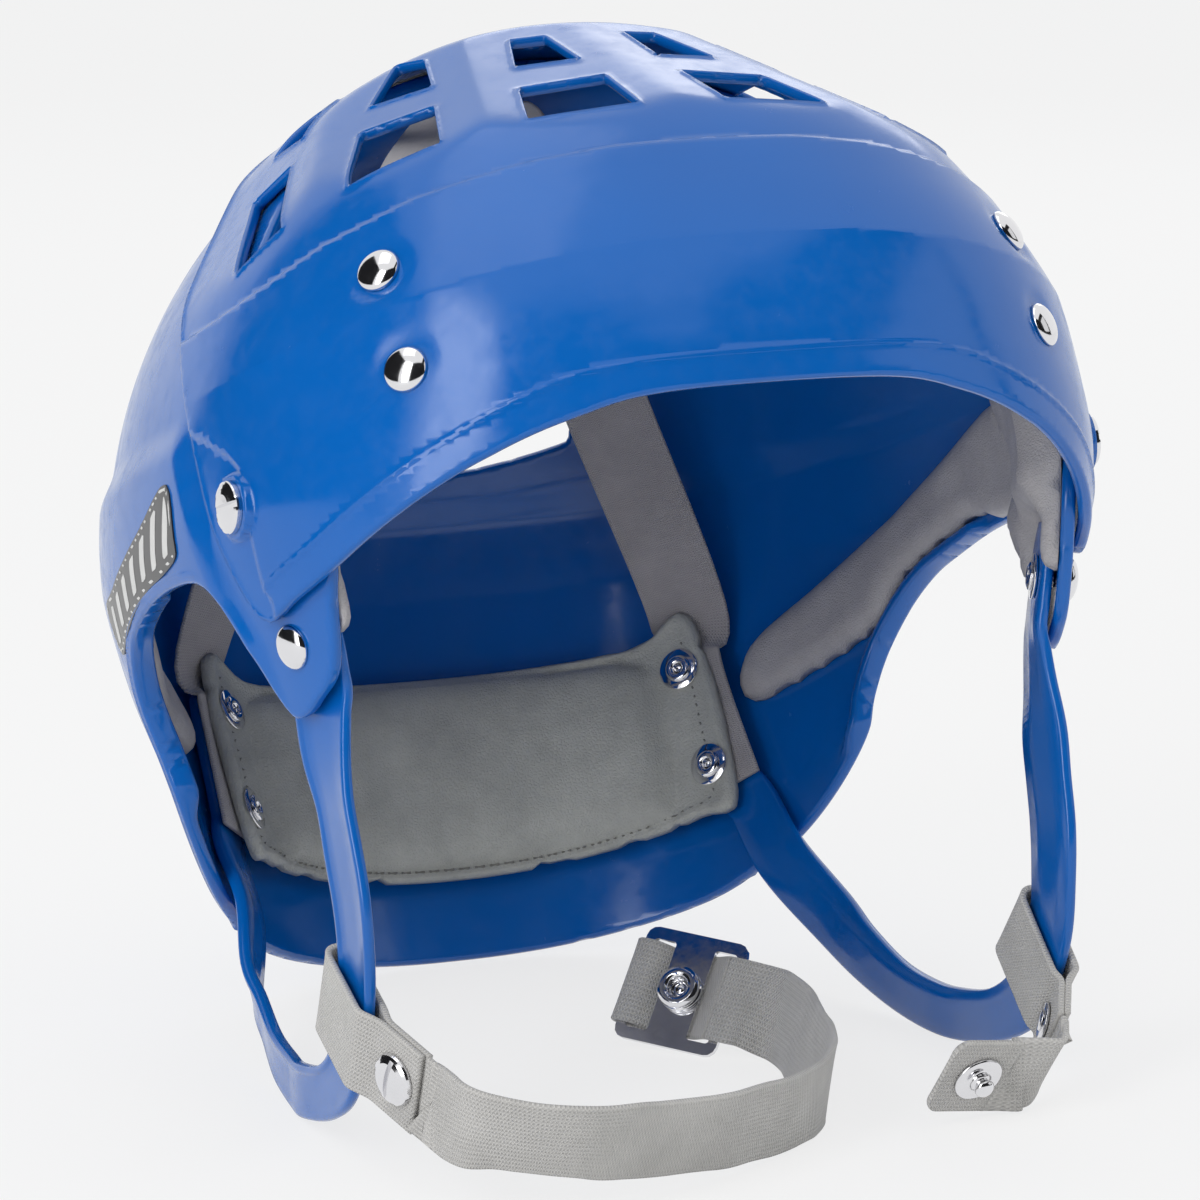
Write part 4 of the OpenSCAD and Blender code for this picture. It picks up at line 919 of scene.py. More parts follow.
# %% Crown straps
CROWN_W, CROWN_T = 20.0, 1.2
CROWN_PATH = [(40, 85, 35), (12, 45, 75), (-1, 18, 86), (-20, -15, 88), (-42, -46, 73.5), (-56.6, -64.6, 58.2)]
CROWN_ACROSS = [(0.8, -0.5, 0.3), (0.75, -0.6, 0.25), (0.8, -0.6, 0.1), (0.8, -0.6, -0.1), (0.75, -0.6, -0.2),
                (0.72, -0.66, -0.2)]
CROWN_OVER = [0.2, 1, 1.4, 1, 0.2, 0]


def strap_depth(g):
    return g + 1.3 + CROWN_T / 2


def crown_band(side):
    low, high = inside(NECK_LOWER, strap_depth(NECK_IN), True), inside(NECK_UPPER, strap_depth(NECK_IN), True)
    above = inside((NECK_UPPER[0] - 1, NECK_UPPER[1] + 16), strap_depth(NECK_IN) + 1, True)
    flip = np.array([-1, 1, 1])
    at_rivet = inside(BROW_UPPER, strap_depth(WALL), False) * flip
    tip = inside((BROW_UPPER[0], BROW_UPPER[1] - 7), strap_depth(WALL), False) * flip
    before = inside((BROW_UPPER[0] + 0.5, BROW_UPPER[1] + 8), strap_depth(WALL) + 0.45, False) * flip
    start = low + unit(low - high) * 6
    over = [np.array(p) + (0, 0, side * o) for p, o in zip(CROWN_PATH, CROWN_OVER)]
    line = [start, high, above] + over + [before, at_rivet, tip]
    first = unit(np.cross(neck_normal, high - low))
    last = unit(np.cross(skin_normal(BROW_UPPER, False) * flip, at_rivet - before))
    path, across = curve(line, 8), curve([first] * 3 + CROWN_ACROSS + [last] * 3, 8)
    return sweep(path, across, [CROWN_W] * len(path), CROWN_T, flat_outline)


for side, word in SIDES:
    points, faces, uv = crown_band(side)
    strap = add_piece(word + "_crown_webbing", settle(mirrored(points, side)), faces, CROWN_WEB, "rear",
                      uv=uv)
    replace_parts(strap, word + "_crown_strap")
print("crown straps done")

# %% [markdown]
# The pads are foam in grained vinyl, welded or sewn round the edge. Each is cut from the same net as the
# shell it lies on. Its outer face follows the shell, and its inner face swells from a thin edge to its full
# depth, as foam under a stretched skin does. The edge is cut a few more times, so that the swell is round.

# %% Pads
SEAT, PAD_EDGE, WELT_RISE, WELT_WIDE, GROOVE_AT, ROOM_R, ROOM_EDGE = 0.05, 0.9, 0.5, 1.2, 0.9, 11.0, 15.0
BROW_PAD_T, NECK_PAD_T, NECK_FLANGE_T, SIDE_PAD_T, TEMPLE_PAD_T = 9.0, 14.0, 2.6, 5.0, 9.5
NECK_FLANGE_G = NECK_IN + CROWN_T + 1.3
BROW_FLANGE_G = WALL + CROWN_T + 1.7
BROW_FLANGE_IN, NECK_FLANGE_IN = BROW_FLANGE_G + 2.6, NECK_FLANGE_G + NECK_FLANGE_T


def swell(d, full, radius, start=0.0):
    """Depth of a pad a distance d from its edge."""
    t = np.clip(d / radius, 0, 1)
    return start + (full - start) * np.sqrt(np.clip(1 - (1 - t) ** 2, 0, 1))


def soft_dents(p, size, depth, seed):
    """Slow dents and puckers, the same in every run."""
    shifted = p / size + seed
    return depth * np.array([noise.noise(Vector(q)) for q in shifted])


def pad(name, rear, distance, outer_depth, inner_depth, material, body, levels=(0.6, 1.6, 3.2, 5.5),
        step=2.3):
    net = lay_net(rear, False, distance, low=-92.0, step=step)

    def field(co):
        return distance(on_net(co, rear, False))
    cut(net, field, 0.0, drop=True)
    for level in levels:
        cut(net, field, level, snap=0.3)
    points, faces = solid_from_net(net, rear, False, lambda p, co: -outer_depth(p, distance(p)),
                                   lambda p, co: -inner_depth(p, distance(p)))
    return add_piece(name, settle(points), faces, material, body)


def both_halves(half):
    return np.array(half + [(-x, z) for x, z in half[-2:0:-1]], float)


NECK_FLANGE = curve(both_halves([(0, -69.3), (25, -68.5), (50, -66), (62, -63), (69, -58.5), (68.5, -14.7),
                                 (57, -19), (40, -20.5), (0, -21)]), 5, True)
NECK_PILLOW = curve(both_halves([(0, -66), (25, -65.5), (50, -63.5), (57, -60), (58, -40), (55, -25), (30, -23),
                                 (0, -22.5)]), 5, True)


def behind(p, outline):
    return np.where(p[:, 1] > 0, signed_distance(p[:, ::2], outline), -50.0)


def pocket(p):
    """1 inside the room for a loop's end and a strap's end, fading to 0 around it."""
    q = to_left(p) - skin_point(neck_middle, True)
    off = q - (q @ neck_normal)[:, None] * neck_normal
    return 1 - fade(np.linalg.norm(off * [1, 1, 0.25], axis=1), ROOM_R, ROOM_EDGE)


def neck_outer(p, d):
    under = np.maximum(WALL + SEAT, NECK_FLANGE_G * pocket(p))
    edge = NECK_FLANGE_G * (1 - fade(behind(p, NECK_PILLOW), 0.0, 4.0))
    return np.maximum(under, edge)


def neck_inner(p, d):
    pillow = behind(p, NECK_PILLOW)
    rise = swell(pillow, WALL + NECK_PAD_T - NECK_FLANGE_IN, 12.0)
    rise = np.where(pillow > 0, rise, 0)
    welt = WELT_RISE * np.clip(1 - np.abs(d - WELT_WIDE) / WELT_WIDE, 0, 1)
    groove = -WELT_RISE * np.clip(1 - np.abs(pillow + GROOVE_AT) / WELT_WIDE, 0, 1)
    pressed = 1 - fade(np.minimum(rivet_away(p, NECK_UPPER), rivet_away(p, NECK_LOWER)), 5.2, 7.5)
    full = NECK_FLANGE_IN + rise + welt + groove \
        + soft_dents(p, 17, 0.7, 3.1) * fade(pillow, 0, 8) + soft_dents(p, 6, 0.22, 8.4) * fade(pillow, -3, 3)
    return (full * (1 - pressed) + NECK_FLANGE_IN * pressed) - rounding(d, PAD_EDGE)


def rivet_away(p, at):
    return np.linalg.norm(to_left(p) - skin_point(at, True), axis=1)


neck_piece = pad("neck_cushion", True, lambda p: behind(p, NECK_FLANGE), neck_outer, neck_inner, GREY_VINYL,
                 "rear", levels=(0.6, 1.2, 2.4, 5.5, 7.5), step=2.0)
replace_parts(neck_piece, "neck_pad")

BROW_FLANGE = curve([(-75, 47), (-75, 30), (-75, 13), (-40, 12), (0, 12), (40, 12), (75, 13), (75, 30), (75, 47),
                     (56, 48.5), (38, 55), (0, 57.5), (-38, 55), (-56, 48.5)], 4, True)
BROW_PILLOW = curve([(-54, 45), (-56, 30), (-55, 18), (0, 17.5), (55, 18), (56, 30), (54, 45), (30, 51.5), (0, 53.5),
                     (-30, 51.5)], 4, True)


def before(p, outline):
    return np.where(p[:, 1] < 0, signed_distance(p[:, ::2], outline), -50.0)


def brow_outer(p, d):
    return np.where(before(p, BROW_PILLOW) > 1.0, WALL + SEAT + 0.2, BROW_FLANGE_G)


def brow_inner(p, d):
    pillow = before(p, BROW_PILLOW)
    rise = np.where(pillow > 0, swell(pillow, WALL + BROW_PAD_T - BROW_FLANGE_IN, 9.0), 0)
    return BROW_FLANGE_IN + rise + soft_dents(p, 15, 0.5, 5.7) * fade(pillow, 0, 6) - rounding(d, PAD_EDGE)


brow_piece = pad("brow_cushion", False, lambda p: before(p, BROW_FLANGE), brow_outer, brow_inner, GREY_VINYL,
                 "front")
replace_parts(brow_piece, "brow_pad")

SIDE_PAD = curve([(-64, -13), (-67, -4), (-66, 12), (-60, 26), (-50, 33), (-38, 31), (-26, 25), (-13.6, 19.4),
                  (7, 14), (33.6, 6.2), (52, -0.5), (76.5, -11), (96, -22.2), (94.8, -35.8), (75, -31.5),
                  (58, -26), (51, -21.5), (46, -15.8), (38, -12.2), (26, -9.2), (10, -6.6), (5, -6.4), (-6, -9),
                  (-20, -10), (-27, -13.5), (-31.5, -20), (-34, -25), (-38, -28.3), (-60, -28.3), (-64, -20)], 4, True)
TEMPLE = curve([(-64, -13), (-67, -4), (-66, 12), (-60, 26), (-50, 33), (-41, 30), (-38, 8), (-40, -13)], 4, True)
NUT_GAP, NUT_T, NUT_AF = 4.3, 2.6, 8.0
LUG_ROOM = np.array([(-13.5, -6), (-13.5, 6), (-8, LOOP_W / 2 + 1), (20, LOOP_W / 2 + 1), (20, -LOOP_W / 2 - 1),
                     (-8, -LOOP_W / 2 - 1)], float)
lug_flat = np.hypot(lug_normal[0], lug_normal[1])
lug_down = np.array([lug_normal[2] * lug_normal[0] / lug_flat, lug_normal[2] * lug_normal[1] / lug_flat, -lug_flat])
lug_back = np.cross(lug_normal, lug_down)
lug_place = skin_point(LUG_AT, True)
nut_y = (screw_place - (2 * WALL + LAP_GAP + NUT_GAP) * screw_axis)[1]


def at_side(p, side):
    return p[:, 0] * side > 20


def side_distance(p, side):
    q = p * [side, 1, 1] - lug_place
    room = -signed_distance(np.stack([q @ lug_down, q @ lug_back], -1), LUG_ROOM)
    return np.where(at_side(p, side), np.minimum(signed_distance(p[:, 1:], SIDE_PAD), room), -50.0)


def nut_track(p):
    start = np.array([nut_y, SCREW_AT[1]])
    return distance_to_line(p[:, 1:], np.array([start, start + size_way * SIZE_TRAVEL]))


def side_outer(p, d):
    room = WALL + NUT_GAP + NUT_T + 1.2
    return np.where(nut_track(p) < NUT_AF / 2 + 2.0, room, WALL + SEAT + 0.1)


def side_inner(p, d):
    temple = signed_distance(p[:, 1:], TEMPLE)
    full = SIDE_PAD_T + (TEMPLE_PAD_T - SIDE_PAD_T) * fade(temple, -4, 7)
    ridge = 3.0 * np.exp(-((p[:, 1] + 31) / 6.5) ** 2) * fade(-p[:, 2], 2, 14)
    depth = WALL + swell(d, full, 5.5, 0.8) + ridge * fade(d, 0, 5)
    dents = soft_dents(p, 13, 0.5, 1.7) + soft_dents(p, 5, 0.16, 4.2)
    return np.maximum(depth + dents * fade(d, 0.5, 5), side_outer(p, d) * (d > 2) + 0.9)


for side, word in SIDES:
    piece = pad(word + "_side_cushion", True, lambda p, side=side: side_distance(p, side), side_outer, side_inner,
                SIDE_VINYL, "rear")
    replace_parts(piece, word + "_side_pad")
print("pads done")

# %% [markdown]
# A row of stitches holds the edge of the neck pad. Each stitch is a short rounded thread that dips into the
# vinyl at both ends. They follow a line a little inside the flange's outline.

# %% Stitches
STITCH_SINK, STITCH_RISE = 0.25, 0.75


def thread_stitches(name, line, depth, length, gap, radius, body):
    cum = travelled(line)
    points, faces = [], []
    ring = [(cos(t), sin(t)) for t in np.linspace(0, 2 * pi, 7)[:-1]]
    at = 0.0
    while at + length < cum[-1]:
        spots = np.stack([np.interp(np.linspace(at, at + length, 6), cum, line[:, k]) for k in range(2)], -1)
        start = len(points)
        for k, (x, z) in enumerate(spots):
            u = surface_turn(x, z)
            base, n = skin_point((u, z), True), skin_normal((u, z), True)
            lift = depth + STITCH_SINK - STITCH_RISE * sin(pi * k / 5)
            way = np.array([spots[-1][0] - spots[0][0], 0, spots[-1][1] - spots[0][1]])
            across = np.cross(n, unit(way))
            for c, s in ring:
                points.append(base - n * (lift + radius * s) + across * radius * c)
        for k in range(5):
            for j in range(6):
                a, b = start + k * 6 + j, start + k * 6 + (j + 1) % 6
                faces.append([a, b, b + 6, a + 6])
        faces += [[start + j for j in range(6)][::-1], [start + 30 + j for j in range(6)]]
        at += length + gap
    add_piece(name, settle(np.array(points)), faces, THREAD, body)


def surface_turn(x, z):
    """The turn u behind the head at which the rear shell stands at x."""
    low, high = (90.0, 180.0) if x >= 0 else (180.0, 270.0)
    for _ in range(30):
        middle = (low + high) / 2
        if skin_point((middle, z), True)[0] > x:
            low = middle
        else:
            high = middle
    return (low + high) / 2


stitch_half = [(0, -67.0), (25, -66.3), (48, -64.2), (60, -61.2), (66, -57.5), (66.2, -40), (66, -19)]
stitch_line = curve([(-x, z) for x, z in stitch_half[::-1]] + stitch_half[1:], 8)
thread_stitches("neck_stitches", stitch_line, NECK_FLANGE_IN, 2.6, 1.5, 0.28, "rear")
print("stitches done")

# %% [markdown]
# The chin webbing is doubled round each loop and closed by a button or a rivet, and its free part bends away
# just beyond. The lines below are the solids' own, so each piece of strap moves with its body and the joint
# opens at the bend. A woven strap has a thicker edge, which the outline gives as a faint lip.

# %% Chin straps
STRAP_W, STRAP_T, SOFT_GAP, PLY_GAP, END_ROOM, CLOSE_ROOM = 20.0, 1.4, 0.35, 0.2, 0.9, 0.8


def settle_mm(p):
    return settle(p) * 1000


CHIN_AT = settle_mm(lug_point + np.array([-3.5, 15.2, -78]))
SNAP_AT = settle_mm(lug_point + np.array([-3.8, 19.1, -82.1]))
CHIN_SLOPE, SNAP_SLOPE, CHIN_AHEAD, SNAP_AHEAD = 23.1, 40.1, 0.36, 0.4
WRAP_BACK, WRAP_FRONT = LOOP_LOW_W / 2 + 8.2, LOOP_LOW_W / 2 + 2.3
WRAP_HALF = LOOP_T / 2 + 2 * SOFT_GAP + STRAP_T / 2
CHIN_BUTTON_AT, CHIN_BUTTON_R, SNAP_RIVET_AT, SNAP_RIVET_R = 19.0, 5.6, 14.8, 3.6


def at_wrap(side, at, slope, p):
    """Places points of a wrap: x ahead along the strap, y towards the head, z along the loop."""
    p = np.atleast_2d(np.asarray(p, float))
    c, s = cos(radians(slope)), sin(radians(slope))
    return np.stack([side * (at[0] - p[:, 1]), at[1] - c * p[:, 0] - s * p[:, 2],
                     at[2] - s * p[:, 0] + c * p[:, 2]], -1)


def drift(x, ahead):
    return 0 if x < WRAP_FRONT else ahead * (x - WRAP_FRONT)


def wrap_route(button, r, ahead):
    end, close = button + r + END_ROOM, button - r - CLOSE_ROOM
    d, c = (STRAP_T + PLY_GAP) / 2, -WRAP_BACK + WRAP_HALF
    turn = [(c + WRAP_HALF * cos(radians(a)), WRAP_HALF * sin(radians(a))) for a in range(90, 271, 15)]
    go = [(end, drift(end, ahead) + d), (close, drift(close, ahead) + d), (WRAP_FRONT, WRAP_HALF)]
    back = [(WRAP_FRONT, -WRAP_HALF), (close, drift(close, ahead) - d), (end, drift(end, ahead) - d)]
    return go + turn + back


def bend_point(side, at, slope, button, r, ahead):
    p = button + r + END_ROOM + STRAP_T / 2 + 0.1
    q = drift(p, ahead)
    return np.array([side * (at[0] - q), at[1] - p * cos(radians(slope)), at[2] - p * sin(radians(slope))])


def leave(side, slope, ahead):
    return unit([-side * ahead, -cos(radians(slope)), -sin(radians(slope))])


def web_outline(width):
    """Webbing with a slightly thicker selvage."""
    h = width / 2
    right = [(h - 0.35, -0.5), (h - 0.08, -0.3), (h, 0), (h - 0.08, 0.3), (h - 0.35, 0.5)]
    top = [(h - 1.1, 0.46)] + [(h * t, 0.43) for t in (0.6, 0.2, -0.2, -0.6)] + [(-h + 1.1, 0.46)]
    left = [(-s, -t) for s, t in right]
    return right + top + left + [(-s, -t) for s, t in top]


def densify(line, step):
    """Adds points to a line so that no step is longer than asked, with its corners a little rounded."""
    line = curve([np.array(p, float) for p in line], 1)
    far = travelled(line)
    at = np.linspace(0, far[-1], int(far[-1] / step) + 2)
    dense = np.stack([np.interp(at, far, line[:, k]) for k in range(line.shape[1])], -1)
    for _ in range(2):
        dense[1:-1] = 0.5 * dense[1:-1] + 0.25 * (dense[:-2] + dense[2:])
    return dense


def strap(name, path, across, body, widths=None):
    """A piece of strap webbing along a path in millimetres on the standing helmet."""
    widths = [STRAP_W] * len(path) if widths is None else widths
    points, faces, uv = sweep(path, across, widths, STRAP_T, web_outline)
    return add_piece(name, points / 1000, faces, CHIN_WEB, body, uv=uv)


def wrap_piece(name, node_name, side, at, slope, button, r, ahead):
    route = densify(wrap_route(button, r, ahead), 0.8)
    path = at_wrap(side, at, slope, np.column_stack([route, 0 * route[:, 0]]))
    across = at_wrap(side, at, slope, [(0, 0, 1)])[0] - at_wrap(side, at, slope, [(0, 0, 0)])[0]
    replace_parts(strap(name, path, [across] * len(path), "rear"), node_name)


wrap_piece("chin_wrap_webbing", "chin_wrap", -1, CHIN_AT, CHIN_SLOPE, CHIN_BUTTON_AT, CHIN_BUTTON_R, CHIN_AHEAD)
wrap_piece("snap_wrap_webbing", "snap_wrap", 1, SNAP_AT, SNAP_SLOPE, SNAP_RIVET_AT, SNAP_RIVET_R, SNAP_AHEAD)
chin_pivot = bend_point(-1, CHIN_AT, CHIN_SLOPE, CHIN_BUTTON_AT, CHIN_BUTTON_R, CHIN_AHEAD)
snap_pivot = bend_point(1, SNAP_AT, SNAP_SLOPE, SNAP_RIVET_AT, SNAP_RIVET_R, SNAP_AHEAD)

CHIN_RUN = [(-69.8, -103, 18.9), (-64.4, -109.7, 18.2), (-56.9, -114.3, 17.2), (-46.2, -115, 15.6),
            (-35.7, -112.2, 14), (-24.6, -108.5, 12.6), (-13.3, -104.5, 11.6), (-4, -99.2, 10.8), (3.9, -94.3, 10.2),
            (11.5, -88.3, 10), (17.3, -82.4, 10.2), (22.6, -74.1, 10.3), (26.7, -62.8, 10.4), (29.1, -50.9, 10.2),
            (31.1, -41.3, 10.1), (33.6, -31.2, 10.1), (34.5, -20.2, 10.1)]
CHIN_RUN_ACROSS = [(-0.04, -0.47, 0.88), (-0.07, -0.53, 0.85), (-0.1, -0.52, 0.85), (-0.15, -0.51, 0.84),
                   (-0.18, -0.5, 0.84), (-0.2, -0.5, 0.84), (-0.2, -0.5, 0.84), (-0.2, -0.51, 0.83),
                   (-0.2, -0.52, 0.82), (-0.2, -0.54, 0.81), (-0.2, -0.55, 0.8), (-0.12, -0.54, 0.83),
                   (-0.02, -0.5, 0.86), (0.1, -0.45, 0.88), (0.2, -0.4, 0.89), (0.28, -0.15, 0.94), (0.33, 0.1, 0.94)]
slider_at = np.array([19.8, 0.1 + SHIFT, 12.5])
slider_x = unit([0.66, -0.745, -0.1])
slider_y = unit(np.cross(np.cross(slider_x, [0.47, 0.34, 0.81]), slider_x))
slider_z = np.cross(slider_x, slider_y)
SLIDER_T, STRAP_JOIN = 1.2, 9.6
STRAP_Z = SLIDER_T / 2 + 0.1 + STRAP_T / 2


def on_slider(x, z):
    return slider_at + x * slider_x + z * slider_z


chin_shift = chin_pivot - [-72.9, -87 + SHIFT, 20.9]
chin_line = [chin_pivot + d * leave(-1, CHIN_SLOPE, CHIN_AHEAD) for d in (0, 2, 4.5)] \
    + [np.array(p) + [0, SHIFT, 0] + chin_shift * (1 - i / 16) ** 2 for i, p in enumerate(CHIN_RUN)] \
    + [on_slider(18.5, 0.9), on_slider(13.5, STRAP_Z), on_slider(STRAP_JOIN, STRAP_Z)]
chin_turns = [(0, -sin(radians(CHIN_SLOPE)), cos(radians(CHIN_SLOPE)))] * 3 + CHIN_RUN_ACROSS + [slider_y] * 3
chin_path = curve(chin_line, 9)
chin_piece = strap("chin_strap_webbing", chin_path, curve(chin_turns, 9), None)
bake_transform(chin_piece)
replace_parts(chin_piece, "chin_strap")
print("chin strap", round(travelled(chin_path)[-1], 1), "mm from its bend to the slider")

FOLD = [(STRAP_JOIN - 0.1, STRAP_Z), (9.1, STRAP_Z), (5.3, -STRAP_Z), (-5.3, -STRAP_Z), (-9.1, STRAP_Z),
        (-12.4, STRAP_Z), (-13.7, 0.7), (-13.7, -0.7), (-12.4, -STRAP_Z), (-10, -1.9), (-7, -3.3), (-4.8, -3.9)]
fold_path = np.array([on_slider(x, z) for x, z in densify(FOLD, 0.8)])
fold_piece = strap("slider_fold_webbing", fold_path, [slider_y] * len(fold_path), "slider_set")
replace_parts(fold_piece, "slider_fold")

flap_at = np.array([51.8, -85.4 + SHIFT, 10.9])
flap_way = -unit([0.97, 0.19, -0.15])
flap_across = unit(np.cross(np.cross(flap_way, [0.3, -0.465, 0.833]), flap_way))
flap_out = np.cross(flap_across, flap_way)
snap_shift = snap_pivot - [75.5, -74.3 + SHIFT, 14.6]
SNAP_RUN, FLAP_CORNER = [(70.2, -82, 10.9), (65, -84, 10.6)], 3.2
snap_line = [snap_pivot + d * leave(1, SNAP_SLOPE, SNAP_AHEAD) for d in (0, 1.5, 3)] \
    + [np.array(p) + [0, SHIFT, 0] + snap_shift * (1 - i / 2) for i, p in enumerate(SNAP_RUN)] \
    + [flap_at + d * flap_way for d in (-8.5, -6, 0, 6, 9)]
snap_turns = [(0, -sin(radians(SNAP_SLOPE)), cos(radians(SNAP_SLOPE)))] * 3 \
    + [(0.2, -0.52, 0.83), (0.28, -0.47, 0.83)] + [flap_across] * 5
snap_path = curve(snap_line, 9)
snap_far = travelled(snap_path)
snap_wide = STRAP_W - 2 * rounding(snap_far[-1] - snap_far, FLAP_CORNER)
snap_piece = strap("snap_strap_webbing", snap_path, curve(snap_turns, 9), "snap", snap_wide)
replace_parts(snap_piece, "snap_strap")
print("snap strap", round(snap_far[-1], 1), "mm from its bend to its end")

# %% [markdown]
# Rivets, washers and the snap's parts are turned shapes, so they are made by turning a profile round an
# axis, as on a lathe. The profile has its small radii in it. One helper turns it and another sets copies on
# the places where the solids are, all copies of a kind in one mesh.

# %% Turned pieces
RIVET_SHANK, WASHER_D, WASHER_T, HEAD_SINK, HEAD_RISE, RIM_T = 4.0, 10.0, 0.8, 0.2, 2.6, 0.4


def turn_profile(profile, segments=56):
    """Points and faces of a turned shape. A profile point on the axis becomes a single point."""
    points, faces, rings = [], [], []
    for r, z in profile:
        if r < 1e-6:
            rings.append([len(points)])
            points.append((0, 0, z))
        else:
            rings.append([len(points) + k for k in range(segments)])
            turns = [2 * pi * k / segments for k in range(segments)]
            points += [(r * cos(t), r * sin(t), z) for t in turns]
    for low, high in zip(rings, rings[1:]):
        for k in range(segments):
            f = [low[k % len(low)], low[(k + 1) % len(low)], high[(k + 1) % len(high)], high[k % len(high)]]
            f = [v for n, v in enumerate(f) if v not in f[:n]]
            if len(f) > 2:
                faces.append(f)
    return np.array(points, float), faces


def soften(profile, radius=0.15):
    """Rounds the corners of a profile with two points each."""
    p = [np.array(q, float) for q in profile]
    out = [p[0]]
    for a, b, c in zip(p, p[1:], p[2:]):
        r = min(radius, 0.4 * np.linalg.norm(a - b), 0.4 * np.linalg.norm(c - b))
        first, last = b + unit(a - b) * r, b + unit(c - b) * r
        out += [first, (first + last + 2 * b) / 4, last]
    return [tuple(q) for q in out + [p[-1]]]


def frame_at(place, axis):
    axis = unit(axis)
    x = unit(np.cross(axis, (0.3, 0.2, 0.93)))
    return np.column_stack([x, np.cross(axis, x), axis]), np.asarray(place, float)


def turned(name, profile, frames, body, replaced):
    """Copies of a turned shape, with frames in millimetres on the standing helmet."""
    one, ring_faces = turn_profile(profile)
    points, faces = [], []
    for axes, place in frames:
        start = sum(len(p) for p in points)
        points.append(one @ axes.T + place)
        faces += [[start + v for v in f] for f in ring_faces]
    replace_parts(add_piece(name, np.concatenate(points) / 1000, faces, CHROME, body), replaced)


def skin_frames(places, rear):
    """Frames on a shell, on both sides of the helmet."""
    frames = []
    for side in (-1, 1):
        for at in places:
            frames.append(frame_at(settle_mm(mirrored(skin_point(at, rear), side)),
                                   settle_way(mirrored(skin_normal(at, rear), side))))
    return frames


def dome(radius, rim, rise, last=0, step=9):
    """The outline of a dome, from its top on the axis down past its rim by the angle last."""
    line = [(cos(radians(a)) * radius, rim + rise * sin(radians(a))) for a in range(90, last - 1, -step)]
    return [(0.0, line[0][1])] + line[1:]


def rivet_profile(stack):
    r = RIVET_SHANK / 2
    clinch = [(0, 0), (1.0, 0), (1.25, -0.3), (1.0, -0.65), (0.2, -0.95), (-0.6, -0.75), (-0.85, -0.2), (-0.9, 0.8)]
    return dome(RIVET_HEAD / 2, RIM_T - HEAD_SINK, HEAD_RISE - RIM_T) \
        + [(RIVET_HEAD / 2 - 0.25, -HEAD_SINK), (r, -HEAD_SINK)] \
        + [(r + x, -stack + z) for x, z in clinch] + [(0.0, -stack + 0.9)]


def washer(name, stack, bore, radius, frames, body, replaced):
    """A clinch washer under a stack of that thickness."""
    low, high = -stack - SEAT - WASHER_T, -stack - SEAT
    turned(name, [(bore, low), (radius - 0.15, low), (radius, low + 0.15), (radius - 0.1, high - 0.25),
                  (radius - 0.45, high), (bore + 0.9, high), (bore + 0.5, high - 0.15), (bore, high - 0.2),
                  (bore, low)], frames, body, replaced)


for kind, places, rear, stack, body in (("brow", (BROW_UPPER, BROW_LOWER), False, BROW_FLANGE_IN, "front"),
                                        ("neck", (NECK_UPPER, NECK_LOWER), True, NECK_FLANGE_IN, "rear"),
                                        ("lug", (LUG_AT,), True, TAB_G + LOOP_T, "rear")):
    frames = skin_frames(places, rear)
    turned(kind + "_rivet_domes", rivet_profile(stack + 2 * SEAT + WASHER_T), frames, body, kind + "_rivets")
    washer(kind + "_rivet_washers", stack, RIVET_SHANK / 2 + SEAT, WASHER_D / 2, frames, body, kind + "_washers")


def button_frame(side, at, slope, button, ahead):
    place = at_wrap(side, at, slope, [(button, drift(button, ahead), 0)])[0]
    a = atan(ahead)
    way = at_wrap(side, at, slope, [(button + sin(a), drift(button, ahead) - cos(a), 0)])[0] - place
    return frame_at(place, way)


TWO_STRAPS, SMALL_SHANK, SMALL_WASHER_R = STRAP_T + PLY_GAP / 2, 1.5, 4.2
snap_frames = [button_frame(1, SNAP_AT, SNAP_SLOPE, SNAP_RIVET_AT, SNAP_AHEAD)]
chin_frames = [button_frame(-1, CHIN_AT, CHIN_SLOPE, CHIN_BUTTON_AT, CHIN_AHEAD)]
top = TWO_STRAPS + SEAT
turned("snap_rivet_dome", dome(SNAP_RIVET_R, top + RIM_T, 1.6)
       + [(SNAP_RIVET_R - 0.2, top), (SMALL_SHANK, top), (SMALL_SHANK, -TWO_STRAPS - 0.95), (2.4, -TWO_STRAPS - 1.0),
          (2.1, -TWO_STRAPS - 1.35), (0.0, -TWO_STRAPS - 1.4)], snap_frames, "rear", "snap_rivet")
washer("snap_rivet_washer", TWO_STRAPS, SMALL_SHANK + SEAT, SMALL_WASHER_R, snap_frames, "rear", "snap_washer")
washer("chin_button_washer", TWO_STRAPS, SMALL_SHANK + SEAT, SMALL_WASHER_R, chin_frames, "rear", "chin_washer")

SNAP_D = 4.4
base, r = STRAP_T / 2 + SEAT, SNAP_D / 2
flap_frame = (np.column_stack([flap_way, -flap_across, flap_out]), flap_at)
neck = [(0.72, 2.2), (0.7, 1.9), (0.82, 1.65), (1.02, 1.45), (1.05, 1.15), (0.9, 0.95)]
dish = [(3.2, 0.85), (4.9, 0.9), (5.35, 0.75), (5.6, 0.45), (5.55, 0), (SMALL_SHANK, 0)]
foot = [(SMALL_SHANK, 0.1), (3, 0.1), (2.7, 0.6), (0.0, 0.7)]
turned("snap_stud_post", dome(r, base + 3.1, 1.5, last=-30, step=15) + [(r * x, base + z) for x, z in neck]
       + [(x, base + z) for x, z in dish] + [(x, -base - z) for x, z in foot], [flap_frame], "snap", "snap_stud")
SOCKET_R, SOCKET_H, SOCKET_FLOOR, SOCKET_SHANK, POCKET_R, POCKET_D = 5.0, 3.1, 1.1, 1.6, 2.0, 0.7
slider_axes = np.column_stack([slider_x, slider_y, slider_z])
socket_frame = (slider_axes, slider_at + slider_z * (SLIDER_T / 2 + SEAT))
